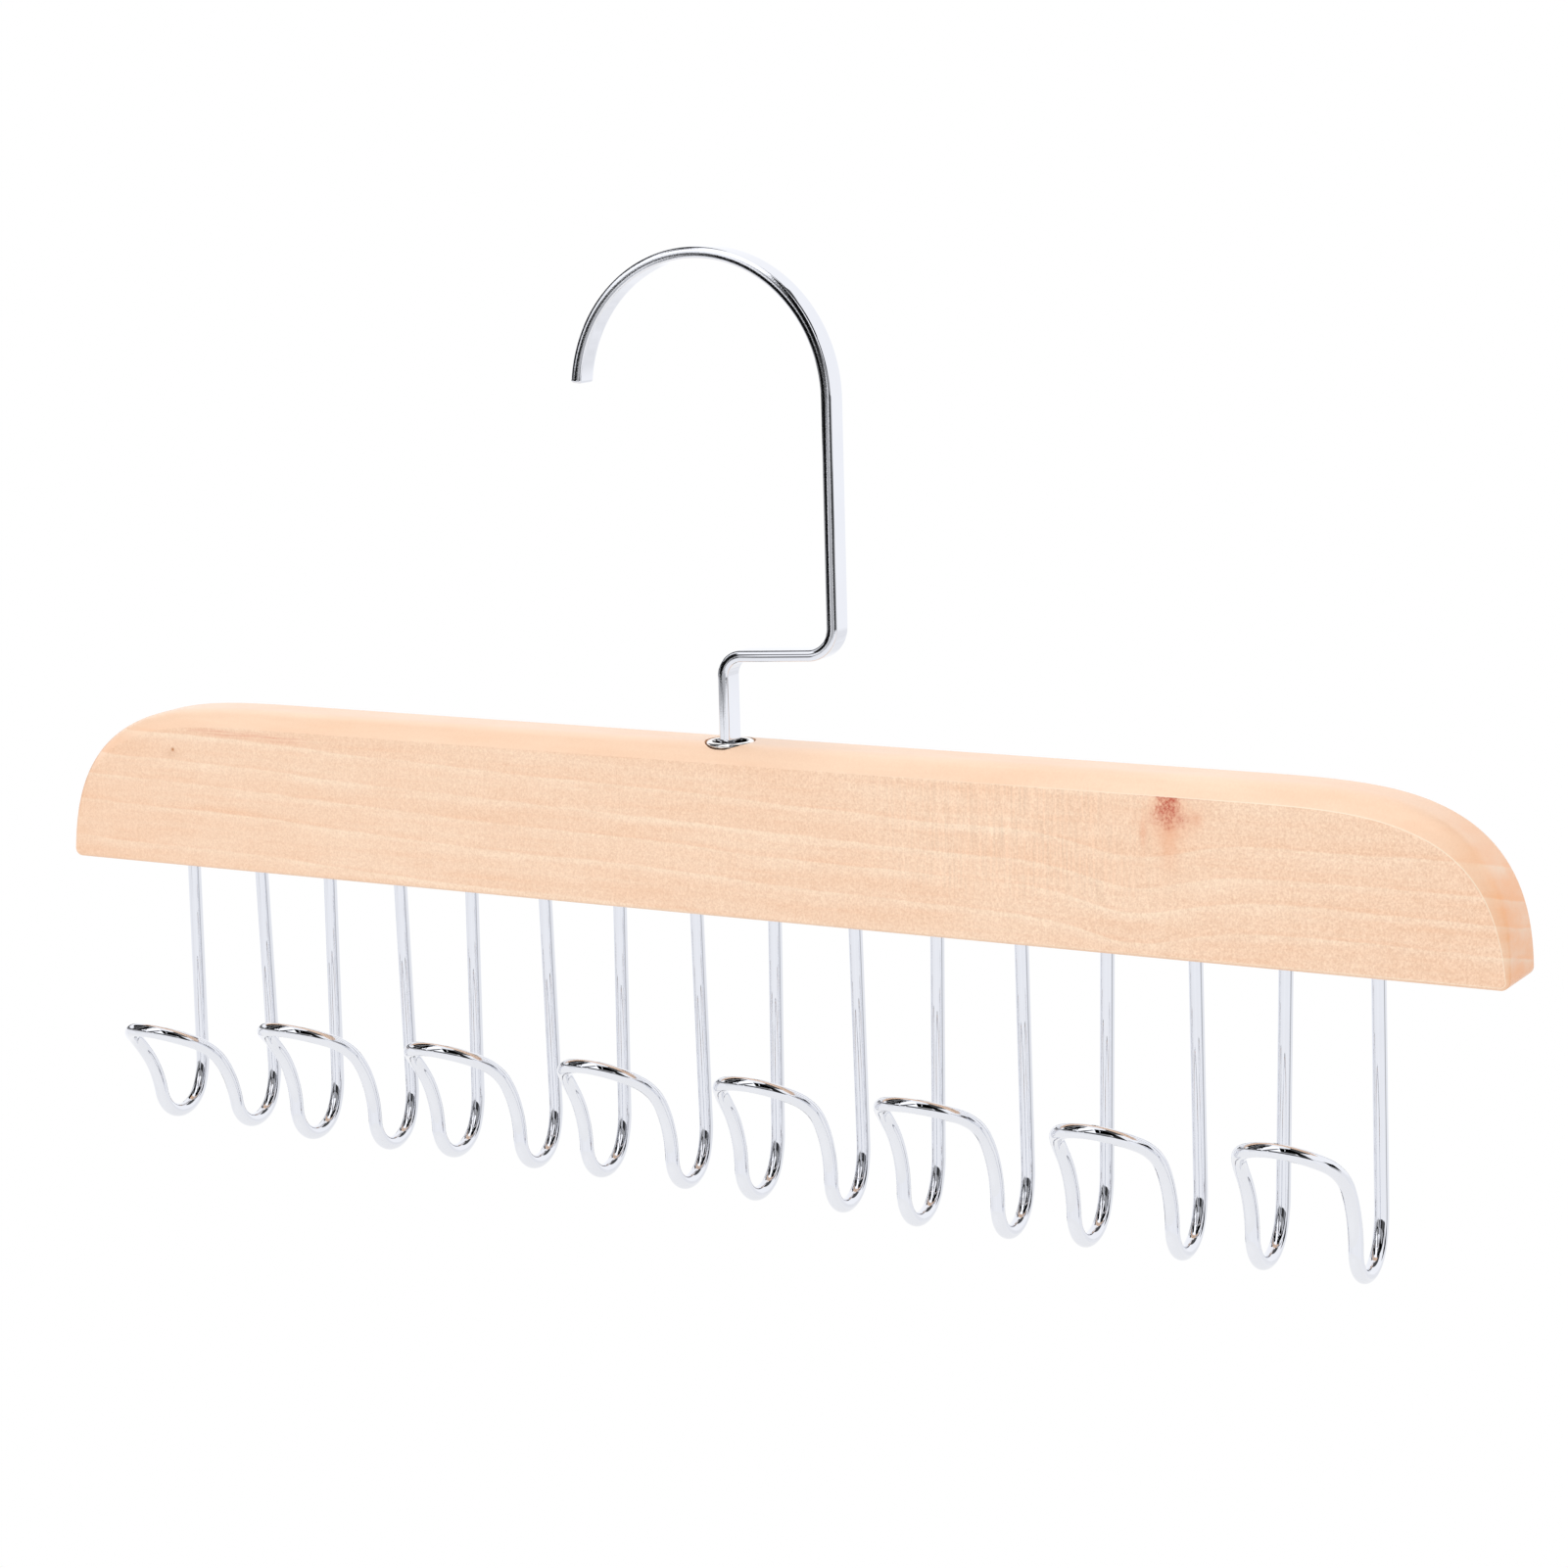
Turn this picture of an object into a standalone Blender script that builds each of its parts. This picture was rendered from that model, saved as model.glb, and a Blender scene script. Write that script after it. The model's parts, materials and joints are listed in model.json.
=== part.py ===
"""Belt hanger: a wooden bar under a flat swivel hook, with eight bent wire hooks for belts.

Run with: blender --background --python part.py
Metres, +Z up. X runs along the bar and -Y is the front, the side the wire hooks reach to.
The origin is the rod seat: the underside of the flat hook's arch, where a wardrobe rod carries it.
"""

from math import cos, hypot, pi, radians, sin, tan

import bmesh
import bpy
from mathutils import Matrix, Vector

# Fits and cuts
FIT_GAP = 0.0003
OVERRUN = 0.004

# Wooden bar
BAR_LENGTH = 0.360
BAR_HEIGHT = 0.038
BAR_THICKNESS = 0.016
SHOULDER_LENGTH = 0.067
SHOULDER_POWER_ALONG = 4.2
SHOULDER_POWER_UP = 2.5
FRONT_EASE_HEIGHT = 0.0038
FRONT_EASE_DEPTH = 0.0075
FRONT_EASE_POWER = 3.0
BACK_EDGE_RADIUS = 0.0030
LOWER_EDGE_RADIUS = 0.0006
LOWER_CORNER_RADIUS = 0.0020
EDGE_FADE_HEIGHT = 0.034
SHOULDER_STEPS = 22
CORNER_STEPS = 3
FRONT_EASE_STEPS = 5
BACK_EDGE_STEPS = 4

# Wire hooks
HOOK_COUNT = 8
END_MARGIN = 0.030
WIRE_DIAMETER = 0.0031
LEG_SPACING = 0.0200
LOOP_WIDTH = 0.0223
LEG_DROP = 0.0536
BEND_RADIUS = 0.0080
LIP_RADIUS = 0.0249
LIP_STRAIGHT = 0.0066
LOOP_END_DEPTH = 0.0170
WOOD_ABOVE_HOLES = 0.0160
RISER_LEAN = radians(2.7)
LIP_TURN = radians(58.6)
BEND_STEPS = 9
LIP_STEPS = 4
LOOP_END_STEPS = 9

# The hooks are bent by hand, so each differs a little, from left to right
DROP_CHANGE_SHARES = (-0.023, -0.002, -0.006, -0.006, 0.003, 0.019, 0.010, 0.004)
LEAN_CHANGES_DEGREES = (8.3, -1.2, 0.0, -0.6, -2.0, -3.2, -0.4, -1.0)
LIP_CHANGES_DEGREES = (-8.2, 3.8, 0.3, -2.4, 0.7, 6.3, 0.2, -0.6)

# Flat swivel hook
STRIP_THICKNESS = 0.0025
STRIP_WIDTH = 0.0056
STRIP_EDGE_RADIUS = 0.0006
SEAT_RADIUS = 0.0300
TIP_ABOVE_LEVEL = radians(5.0)
TIP_ROUNDING = 0.0005
SHANK_DROP = 0.0555
SWIVEL_OFFSET = 0.0039
STEM_RISE = 0.0198
JOGGLE_SLOPE = radians(3.2)
UPPER_BEND_RADIUS = 0.0062
LOWER_BEND_RADIUS = 0.0048
ARC_STEPS = 26
JOGGLE_STEPS = 6
SECTION_STEPS = 3

# Round pin under the strip, its swaged head and the washer
PIN_DIAMETER = 0.0046
HEAD_RIM = 0.0016
HEAD_THICKNESS = 0.0014
HEAD_EDGE = 0.0005
HEAD_RECESS = 0.0040
WASHER_RIM = 0.0022
WASHER_THICKNESS = 0.0008
COUNTERBORE_CLEARANCE = 0.0007

# Eyelet pressed into a spot face on top of the bar
SPOT_FACE_DEPTH = 0.0012
EYELET_PLAY = 0.0006
EYELET_WALL = 0.0004
FLANGE_OVERHANG = 0.0013
FLANGE_HEIGHT = 0.0010
BARREL_LENGTH = 0.0060
FLANGE_CROWN_SHARES = ((1.0, 0.40), (0.80, 0.84), (0.50, 1.0), (0.18, 0.84), (0.0, 0.45))

# Sides of the round pieces and holes
TURNED_SIDES = 24
HOLE_SIDES = 12

# Sizes that follow from those above
PITCH = (BAR_LENGTH - 2 * END_MARGIN - LEG_SPACING) / (HOOK_COUNT - 1)
ARC_RADIUS = SEAT_RADIUS + STRIP_THICKNESS / 2
JOGGLE_Z = -SEAT_RADIUS - SHANK_DROP
BAR_TOP_Z = JOGGLE_Z - STEM_RISE
BAR_BOTTOM_Z = BAR_TOP_Z - BAR_HEIGHT
HOLE_DEPTH = BAR_HEIGHT - WOOD_ABOVE_HOLES
LEG_EMBED = HOLE_DEPTH - FIT_GAP
EYELET_HOLE_RADIUS = max(hypot(STRIP_WIDTH, STRIP_THICKNESS), PIN_DIAMETER) / 2 + EYELET_PLAY
BARREL_RADIUS = EYELET_HOLE_RADIUS + EYELET_WALL
FLANGE_RADIUS = BARREL_RADIUS + FLANGE_OVERHANG
PIN_RADIUS = PIN_DIAMETER / 2
BORE_RADIUS = PIN_RADIUS + FIT_GAP
HEAD_RADIUS = PIN_RADIUS + HEAD_RIM
WASHER_RADIUS = BORE_RADIUS + WASHER_RIM
COUNTERBORE_RADIUS = WASHER_RADIUS + COUNTERBORE_CLEARANCE
HEAD_END_Z = BAR_BOTTOM_Z + HEAD_RECESS
HEAD_TOP_Z = HEAD_END_Z + HEAD_THICKNESS
WASHER_BOTTOM_Z = HEAD_TOP_Z + FIT_GAP
COUNTERBORE_TOP_Z = WASHER_BOTTOM_Z + WASHER_THICKNESS + FIT_GAP


def clear_scene():
    """Removes every object that the file starts with."""
    for leftover in list(bpy.data.objects):
        bpy.data.objects.remove(leftover, do_unlink=True)


def make_material(name, color, roughness, metallic):
    """One finish of the hanger, as a Principled BSDF."""
    material = bpy.data.materials.new(name)
    material.use_nodes = True
    shader = material.node_tree.nodes["Principled BSDF"]
    shader.inputs["Base Color"].default_value = (*color, 1.0)
    shader.inputs["Roughness"].default_value = roughness
    shader.inputs["Metallic"].default_value = metallic
    return material


def add_empty(name, location):
    """A named axis that moving pieces hang from."""
    empty = bpy.data.objects.new(name, None)
    empty.location = location
    bpy.context.scene.collection.objects.link(empty)
    return empty


def add_piece(name, data, material, location, parent=None):
    """Puts one piece in the scene at a world place, under its parent if it has one."""
    piece = bpy.data.objects.new(name, data)
    data.materials.append(material)
    piece.parent = parent
    piece.location = Vector(location) - (parent.location if parent else Vector())
    bpy.context.scene.collection.objects.link(piece)
    return piece


def mesh_of(name, shape, smooth_angle=radians(40.0)):
    """Turns a bmesh into a mesh with outward faces and smooth round sides."""
    bmesh.ops.recalc_face_normals(shape, faces=shape.faces)
    mesh = bpy.data.meshes.new(name)
    shape.to_mesh(mesh)
    shape.free()
    mesh.shade_smooth()
    mesh.set_sharp_from_angle(angle=smooth_angle)
    return mesh


def turned_shape(profile, sides):
    """Spins a closed profile of (radius, height) points once round the Z axis."""
    shape = bmesh.new()
    rim = [shape.verts.new((radius, 0.0, height)) for radius, height in profile]
    edges = [shape.edges.new((rim[i - 1], rim[i])) for i in range(len(rim))]
    bmesh.ops.spin(
        shape,
        geom=rim + edges,
        cent=(0.0, 0.0, 0.0),
        axis=(0.0, 0.0, 1.0),
        angle=2 * pi,
        steps=sides,
        use_merge=True,
    )
    return shape


def turned_plug(steps, sides):
    """A stepped round solid on the Z axis from (radius, height) steps, closed at both ends."""
    shape = bmesh.new()
    rings = []
    for radius, height in steps:
        turns = [2 * pi * side / sides for side in range(sides)]
        rings.append([shape.verts.new((radius * cos(a), radius * sin(a), height)) for a in turns])
    for lower, upper in zip(rings, rings[1:]):
        for side in range(sides):
            after = (side + 1) % sides
            shape.faces.new((lower[side], lower[after], upper[after], upper[side]))
    shape.faces.new(rings[0][::-1])
    shape.faces.new(rings[-1])
    return shape


def hook_places():
    """Distance of each wire hook's middle from the middle of the bar."""
    return [(index - (HOOK_COUNT - 1) / 2) * PITCH for index in range(HOOK_COUNT)]


def faded(size, height):
    """Size of an edge's rounding at a height: full along the top, small at the ends' feet."""
    fade = min(height / EDGE_FADE_HEIGHT, 1.0)
    return LOWER_EDGE_RADIUS + (size - LOWER_EDGE_RADIUS) * fade


def edge_rings(height):
    """(y, inset) of each ring of the bar's skin at a height, from the front face to the back.

    The front edge is eased: it starts with a crease and flattens out over the top.
    The back edge is a plain quarter round.
    """
    half = BAR_THICKNESS / 2
    ease_height = faded(FRONT_EASE_HEIGHT, height)
    ease_depth = faded(FRONT_EASE_DEPTH, height)
    radius = faded(BACK_EDGE_RADIUS, height)
    rings = []
    for step in range(FRONT_EASE_STEPS + 1):
        share = step / FRONT_EASE_STEPS
        rings.append((-half + ease_depth * share, ease_height * (1 - share) ** FRONT_EASE_POWER))
    for step in range(BACK_EDGE_STEPS + 1):
        turn = pi / 2 * step / BACK_EDGE_STEPS
        rings.append((half - radius * (1 - sin(turn)), radius * (1 - cos(turn))))
    return rings


def bar_half_outline():
    """Right half of the bar's front view, from the underside up to the top: place and normal."""
    half_length = BAR_LENGTH / 2
    corner_x = half_length - LOWER_CORNER_RADIUS
    outline = []
    for step in range(CORNER_STEPS + 1):
        turn = -pi / 2 + pi / 2 * step / (CORNER_STEPS + 1)
        normal = Vector((cos(turn), 0.0, sin(turn)))
        centre = Vector((corner_x, 0.0, LOWER_CORNER_RADIUS))
        outline.append((centre + normal * LOWER_CORNER_RADIUS, normal))
    first = (LOWER_CORNER_RADIUS / BAR_HEIGHT) ** (SHOULDER_POWER_UP / 2)
    for step in range(SHOULDER_STEPS + 1):
        turn = first + (pi / 2 - first) * step / SHOULDER_STEPS
        across = cos(turn) ** (2 / SHOULDER_POWER_ALONG) if step < SHOULDER_STEPS else 0.0
        upward = sin(turn) ** (2 / SHOULDER_POWER_UP)
        place = Vector((half_length - SHOULDER_LENGTH * (1 - across), 0.0, BAR_HEIGHT * upward))
        slope_x = SHOULDER_POWER_ALONG * across ** (SHOULDER_POWER_ALONG - 1) / SHOULDER_LENGTH
        slope_z = SHOULDER_POWER_UP * upward ** (SHOULDER_POWER_UP - 1) / BAR_HEIGHT
        outline.append((place, Vector((slope_x, 0.0, slope_z)).normalized()))
    return outline


def bar_outline():
    """The whole front view of the bar, once round: place and normal."""
    right = bar_half_outline()
    flip = Matrix.Scale(-1, 3, (1, 0, 0))
    left = [(flip @ place, flip @ normal) for place, normal in reversed(right)]
    return right + left


def bar_shape():
    """The bar as a loft through outlines that draw in over its eased front and round back edge."""
    shape = bmesh.new()
    columns = []
    for place, normal in bar_outline():
        column = []
        for y, inset in edge_rings(place.z):
            column.append(shape.verts.new(place - normal * inset + Vector((0.0, y, 0.0))))
        columns.append(column)
    for column, after in zip(columns, columns[1:] + columns[:1]):
        for front in range(len(column) - 1):
            shape.faces.new((column[front], after[front], after[front + 1], column[front + 1]))
    shape.faces.new([column[0] for column in reversed(columns)])
    shape.faces.new([column[-1] for column in columns])
    return shape


def leg_hole_shape():
    """Two blind holes for each wire hook, as cutters from below the bar."""
    shape = bmesh.new()
    for middle in hook_places():
        for side in (-1, 1):
            centre = Vector((middle + side * LEG_SPACING / 2, 0.0, (HOLE_DEPTH - OVERRUN) / 2))
            bmesh.ops.create_cone(
                shape,
                cap_ends=True,
                segments=HOLE_SIDES,
                radius1=WIRE_DIAMETER / 2 + FIT_GAP,
                radius2=WIRE_DIAMETER / 2 + FIT_GAP,
                depth=HOLE_DEPTH + OVERRUN,
                matrix=Matrix.Translation(centre),
            )
    return shape


def swivel_bore_steps():
    """Stepped hole for the swivel: counterbore, running bore, eyelet seat and spot face."""
    counterbore_top = COUNTERBORE_TOP_Z - BAR_BOTTOM_Z
    spot_face = BAR_HEIGHT - SPOT_FACE_DEPTH
    seat_bottom = spot_face - BARREL_LENGTH - FIT_GAP
    seat_radius = BARREL_RADIUS + FIT_GAP
    spot_radius = FLANGE_RADIUS + FIT_GAP
    return (
        (COUNTERBORE_RADIUS, -OVERRUN),
        (COUNTERBORE_RADIUS, counterbore_top),
        (BORE_RADIUS, counterbore_top),
        (BORE_RADIUS, seat_bottom),
        (seat_radius, seat_bottom),
        (seat_radius, spot_face),
        (spot_radius, spot_face),
        (spot_radius, BAR_HEIGHT + OVERRUN),
    )


def cut(piece, name, shape):
    """Takes a hidden cutter away from a piece."""
    cutter = bpy.data.objects.new(name, mesh_of(name, shape))
    cutter.parent = piece
    cutter.hide_render = True
    cutter.display_type = "WIRE"
    bpy.context.scene.collection.objects.link(cutter)
    boolean = piece.modifiers.new(name, "BOOLEAN")
    boolean.operation = "DIFFERENCE"
    boolean.object = cutter


def make_bar(material, swivel):
    """The wooden bar with its blind holes and the bore of the swivel."""
    place = (SWIVEL_OFFSET, 0.0, BAR_BOTTOM_Z)
    bar = add_piece("wooden_bar", mesh_of("wooden_bar", bar_shape()), material, place, swivel)
    cut(bar, "leg_hole_cutter", leg_hole_shape())
    cut(bar, "swivel_bore_cutter", turned_plug(swivel_bore_steps(), TURNED_SIDES))


def wire_side_view(along, drop, lean, lip_turn):
    """(y, z) of the wire seen from the end of the bar, at a length along it below the bar."""
    straight = min(along, drop)
    bend_turn = pi - lean
    bend = min(max(along - drop, 0.0) / BEND_RADIUS, bend_turn)
    bend_end = drop + BEND_RADIUS * bend_turn
    turned = min(max(along - bend_end, 0.0) / LIP_RADIUS, lip_turn)
    rest = max(along - bend_end - LIP_RADIUS * lip_turn, 0.0)
    y = BEND_RADIUS * (cos(bend) - 1)
    z = -straight - BEND_RADIUS * sin(bend)
    y -= LIP_RADIUS * (cos(lean) - cos(lean + turned)) + rest * sin(lean + turned)
    z += LIP_RADIUS * (sin(lean + turned) - sin(lean)) + rest * cos(lean + turned)
    return y, z


def wire_route(drop, lean, lip_turn):
    """Centre line of one wire hook, from leg to leg, about the underside of the bar.

    Laid flat it is a hairpin: two legs that spread a little and a rounded end.
    The hairpin is then bent up at the front and its end is bent outward.
    """
    bend_end = drop + BEND_RADIUS * (pi - lean)
    total = bend_end + LIP_RADIUS * lip_turn + LIP_STRAIGHT
    round_start = total - LOOP_END_DEPTH

    def half_width(along):
        spread = (LOOP_WIDTH - LEG_SPACING) / 2
        return LEG_SPACING / 2 + spread * min(max(along / bend_end, 0.0), 1.0)

    flat = [(LEG_SPACING / 2, -LEG_EMBED)]
    flat += [(half_width(along), along) for along in (0.0, drop / 2)]
    for step in range(BEND_STEPS + 1):
        along = drop + (bend_end - drop) * step / BEND_STEPS
        flat.append((half_width(along), along))
    for step in range(1, LIP_STEPS):
        along = bend_end + (round_start - bend_end) * step / LIP_STEPS
        flat.append((half_width(along), along))
    for step in range(LOOP_END_STEPS + 1):
        turn = pi / 2 * step / LOOP_END_STEPS
        across = half_width(round_start) * cos(turn) if step < LOOP_END_STEPS else 0.0
        flat.append((across, round_start + LOOP_END_DEPTH * sin(turn)))
    route = []
    for x, along in flat:
        y, z = wire_side_view(along, drop, lean, lip_turn) if along > 0 else (0.0, -along)
        route.append(Vector((x, y, z)))
    mirrored = [Vector((-point.x, point.y, point.z)) for point in reversed(route[:-1])]
    return route + mirrored


def make_belt_hook(index, middle, material, swivel):
    """One bent wire hook, its two legs in their holes."""
    drop = LEG_DROP * (1 + DROP_CHANGE_SHARES[index % len(DROP_CHANGE_SHARES)])
    lean = RISER_LEAN + radians(LEAN_CHANGES_DEGREES[index % len(LEAN_CHANGES_DEGREES)])
    lip_turn = LIP_TURN + radians(LIP_CHANGES_DEGREES[index % len(LIP_CHANGES_DEGREES)])
    name = f"belt_hook_{index + 1}"
    wire = bpy.data.curves.new(name, "CURVE")
    wire.dimensions = "3D"
    wire.bevel_depth = WIRE_DIAMETER / 2
    wire.bevel_resolution = 2
    wire.use_fill_caps = True
    route = wire_route(drop, lean, lip_turn)
    spline = wire.splines.new("POLY")
    spline.points.add(len(route) - 1)
    for point, place in zip(spline.points, route):
        point.co = (*place, 1.0)
    add_piece(name, wire, material, (SWIVEL_OFFSET + middle, 0.0, BAR_BOTTOM_Z), swivel)


def rounded_corner(before, corner, after, radius, steps):
    """Points of an arc of the given radius that rounds one corner of a line."""
    inward = (before - corner).normalized()
    onward = (after - corner).normalized()
    opening = inward.angle(onward)
    centre = corner + (inward + onward).normalized() * radius / sin(opening / 2)
    reach = radius / tan(opening / 2)
    first = corner + inward * reach - centre
    last = corner + onward * reach - centre
    turn = first.angle(last)
    points = []
    for step in range(steps + 1):
        share = step / steps
        blend = first * sin((1 - share) * turn) + last * sin(share * turn)
        points.append(centre + blend / sin(turn))
    return points


def strip_route():
    """Centre line of the flat strip in the XZ plane, from the tip over the arch to the bar."""
    centre = Vector((0.0, 0.0, -SEAT_RADIUS))
    route = []
    for step in range(ARC_STEPS + 1):
        turn = (pi - TIP_ABOVE_LEVEL) * (1 - step / ARC_STEPS)
        route.append(centre + Vector((cos(turn), 0.0, sin(turn))) * ARC_RADIUS)
    reach = (ARC_RADIUS - SWIVEL_OFFSET) / 2
    rise = reach * tan(JOGGLE_SLOPE)
    shank_foot = Vector((ARC_RADIUS, 0.0, JOGGLE_Z + rise))
    stem_head = Vector((SWIVEL_OFFSET, 0.0, JOGGLE_Z - rise))
    bar_top = Vector((SWIVEL_OFFSET, 0.0, BAR_TOP_Z))
    route += rounded_corner(route[-1], shank_foot, stem_head, UPPER_BEND_RADIUS, JOGGLE_STEPS)
    route += rounded_corner(shank_foot, stem_head, bar_top, LOWER_BEND_RADIUS, JOGGLE_STEPS)
    return route + [bar_top]


def section_ring(shape, place, heading, half_thickness, half_width, corner):
    """One rounded outline across the strip or the pin: heading is the direction it runs in."""
    outward = Vector((-heading.z, 0.0, heading.x))
    sideways = Vector((0.0, 1.0, 0.0))
    ring = []
    for quarter, (side_a, side_b) in enumerate(((1, 1), (-1, 1), (-1, -1), (1, -1))):
        centre = outward * side_a * (half_thickness - corner) + sideways * side_b * (half_width - corner)
        for step in range(SECTION_STEPS):
            turn = pi / 2 * (quarter + (step + 1 / 2) / SECTION_STEPS)
            spoke = outward * cos(turn) + sideways * sin(turn)
            ring.append(shape.verts.new(place + centre + spoke * corner))
    return ring


def swivel_hook_shape():
    """Strip, round pin and swaged head as one loft, because they are one piece of steel."""
    strip_half = (STRIP_THICKNESS / 2, STRIP_WIDTH / 2, STRIP_EDGE_RADIUS)
    tip_half = tuple(size - TIP_ROUNDING for size in strip_half)
    route = strip_route()
    stations = []
    for index, place in enumerate(route):
        after = route[min(index + 1, len(route) - 1)]
        before = route[max(index - 1, 0)]
        stations.append((place, (after - before).normalized(), strip_half))
    tip_place, tip_heading, _ = stations[0]
    stations[0] = (tip_place + tip_heading * TIP_ROUNDING, tip_heading, strip_half)
    stations.insert(0, (tip_place, tip_heading, tip_half))
    down = Vector((0.0, 0.0, -1.0))
    head_half = HEAD_RADIUS - HEAD_EDGE
    pin_steps = (
        (BAR_TOP_Z - BARREL_LENGTH, PIN_RADIUS),
        (HEAD_TOP_Z, PIN_RADIUS),
        (HEAD_TOP_Z, HEAD_RADIUS),
        (HEAD_END_Z + HEAD_EDGE, HEAD_RADIUS),
        (HEAD_END_Z, head_half),
    )
    for height, radius in pin_steps:
        stations.append((Vector((SWIVEL_OFFSET, 0.0, height)), down, (radius, radius, radius)))
    shape = bmesh.new()
    rings = [section_ring(shape, place, heading, *half) for place, heading, half in stations]
    for lower, upper in zip(rings, rings[1:]):
        for index in range(len(lower)):
            after = (index + 1) % len(lower)
            shape.faces.new((lower[index], lower[after], upper[after], upper[index]))
    shape.faces.new(rings[0][::-1])
    shape.faces.new(rings[-1])
    return shape


def make_swivel_hook(material):
    """The flat chrome hook that hangs on the rod and carries the bar on its pin."""
    mesh = mesh_of("swivel_hook", swivel_hook_shape())
    add_piece("swivel_hook", mesh, material, (0.0, 0.0, 0.0))


def make_washer(material):
    """The washer between the swaged head and the floor of the counterbore."""
    profile = (
        (BORE_RADIUS, 0.0),
        (WASHER_RADIUS, 0.0),
        (WASHER_RADIUS, WASHER_THICKNESS),
        (BORE_RADIUS, WASHER_THICKNESS),
    )
    mesh = mesh_of("thrust_washer", turned_shape(profile, TURNED_SIDES))
    add_piece("thrust_washer", mesh, material, (SWIVEL_OFFSET, 0.0, WASHER_BOTTOM_Z))


def make_eyelet(material, swivel):
    """The domed eyelet whose barrel lines the top of the bore."""
    rim = FLANGE_RADIUS - EYELET_HOLE_RADIUS
    profile = [
        (EYELET_HOLE_RADIUS, -BARREL_LENGTH),
        (BARREL_RADIUS, -BARREL_LENGTH),
        (BARREL_RADIUS, FIT_GAP),
        (FLANGE_RADIUS, FIT_GAP),
    ]
    for out_share, up_share in FLANGE_CROWN_SHARES:
        profile.append((EYELET_HOLE_RADIUS + rim * out_share, FIT_GAP + FLANGE_HEIGHT * up_share))
    mesh = mesh_of("top_eyelet", turned_shape(profile, TURNED_SIDES))
    place = (SWIVEL_OFFSET, 0.0, BAR_TOP_Z - SPOT_FACE_DEPTH)
    add_piece("top_eyelet", mesh, material, place, swivel)


def main():
    clear_scene()
    wood = make_material("pale_maple", (0.83, 0.58, 0.38), 0.45, 0.0)
    chrome = make_material("polished_chrome", (0.80, 0.80, 0.83), 0.08, 1.0)
    zinc = make_material("zinc_plate", (0.62, 0.62, 0.60), 0.35, 1.0)
    swivel = add_empty("bar_swivel", (SWIVEL_OFFSET, 0.0, BAR_TOP_Z))
    make_swivel_hook(chrome)
    make_washer(zinc)
    make_eyelet(chrome, swivel)
    make_bar(wood, swivel)
    for index, middle in enumerate(hook_places()):
        make_belt_hook(index, middle, chrome, swivel)


if __name__ == "__main__":
    main()
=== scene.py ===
"""Belt hanger: the finished look of the wooden bar, its flat swivel hook and its eight wire hooks.

Laid out as a Blender add-on and run as a script. Metres, +Z up, -Y is the front.
The origin is the rod seat, the underside of the flat hook's arch.
"""

import json
from math import cos, hypot, pi, radians, sin, tan

import bmesh
import bpy
from bpy.props import FloatProperty, FloatVectorProperty, IntProperty, PointerProperty
from mathutils import Matrix, Vector


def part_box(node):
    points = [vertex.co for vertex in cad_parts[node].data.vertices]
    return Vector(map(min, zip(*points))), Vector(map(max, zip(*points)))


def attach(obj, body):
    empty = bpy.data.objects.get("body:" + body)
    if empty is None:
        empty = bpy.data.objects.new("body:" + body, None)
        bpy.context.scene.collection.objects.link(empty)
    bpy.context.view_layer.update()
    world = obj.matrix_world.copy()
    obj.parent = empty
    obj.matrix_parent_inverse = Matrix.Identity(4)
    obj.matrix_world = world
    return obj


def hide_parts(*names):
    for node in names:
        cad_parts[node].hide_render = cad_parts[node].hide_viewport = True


bl_info = {
    "name": "Belt hanger",
    "version": (1, 0, 0),
    "blender": (4, 5, 0),
    "location": "3D View > Sidebar > Belt hanger",
    "description": "Makes a wooden belt hanger with a flat swivel hook and eight wire hooks",
    "category": "Add Mesh",
}

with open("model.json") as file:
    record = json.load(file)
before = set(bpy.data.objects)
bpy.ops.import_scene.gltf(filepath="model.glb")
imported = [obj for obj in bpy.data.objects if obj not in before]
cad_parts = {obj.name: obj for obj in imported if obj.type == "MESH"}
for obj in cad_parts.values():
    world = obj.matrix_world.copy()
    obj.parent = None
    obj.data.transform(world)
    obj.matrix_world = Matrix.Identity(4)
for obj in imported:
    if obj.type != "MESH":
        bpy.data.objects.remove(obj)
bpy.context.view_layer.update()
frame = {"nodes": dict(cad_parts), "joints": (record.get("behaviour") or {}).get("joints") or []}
SWIVEL = Vector(frame["joints"][0]["pos_m"])
WASHER_LOW, WASHER_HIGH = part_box("thrust_washer")
HOOK_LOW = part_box("swivel_hook")[0]
WIRE_NODES = sorted(name for name in frame["nodes"] if name.startswith("belt_hook_"))
MM = 0.001
WHITE = (1.0, 1.0, 1.0)


# Properties
def number(name, text, default, precision=3, **settings):
    """A number, plain or with a unit."""
    return FloatProperty(name=name, description=text, default=default, precision=precision, **settings)


def length(name, text, default):
    """A size in metres."""
    return number(name, text, default, precision=5, unit="LENGTH")


def angle(name, text, degrees):
    """An angle, typed in degrees."""
    return number(name, text, radians(degrees), subtype="ANGLE")


def share(name, text, default):
    """A value from 0 to 1."""
    return number(name, text, default, min=0.0, max=1.0, subtype="FACTOR")


def row(name, text, *values, **settings):
    """Several numbers."""
    return FloatVectorProperty(name=name, description=text, default=values, size=len(values), **settings)


def color(name, text, *values):
    """A linear colour."""
    return row(name, text, *values, min=0.0, max=1.0, subtype="COLOR")


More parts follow.
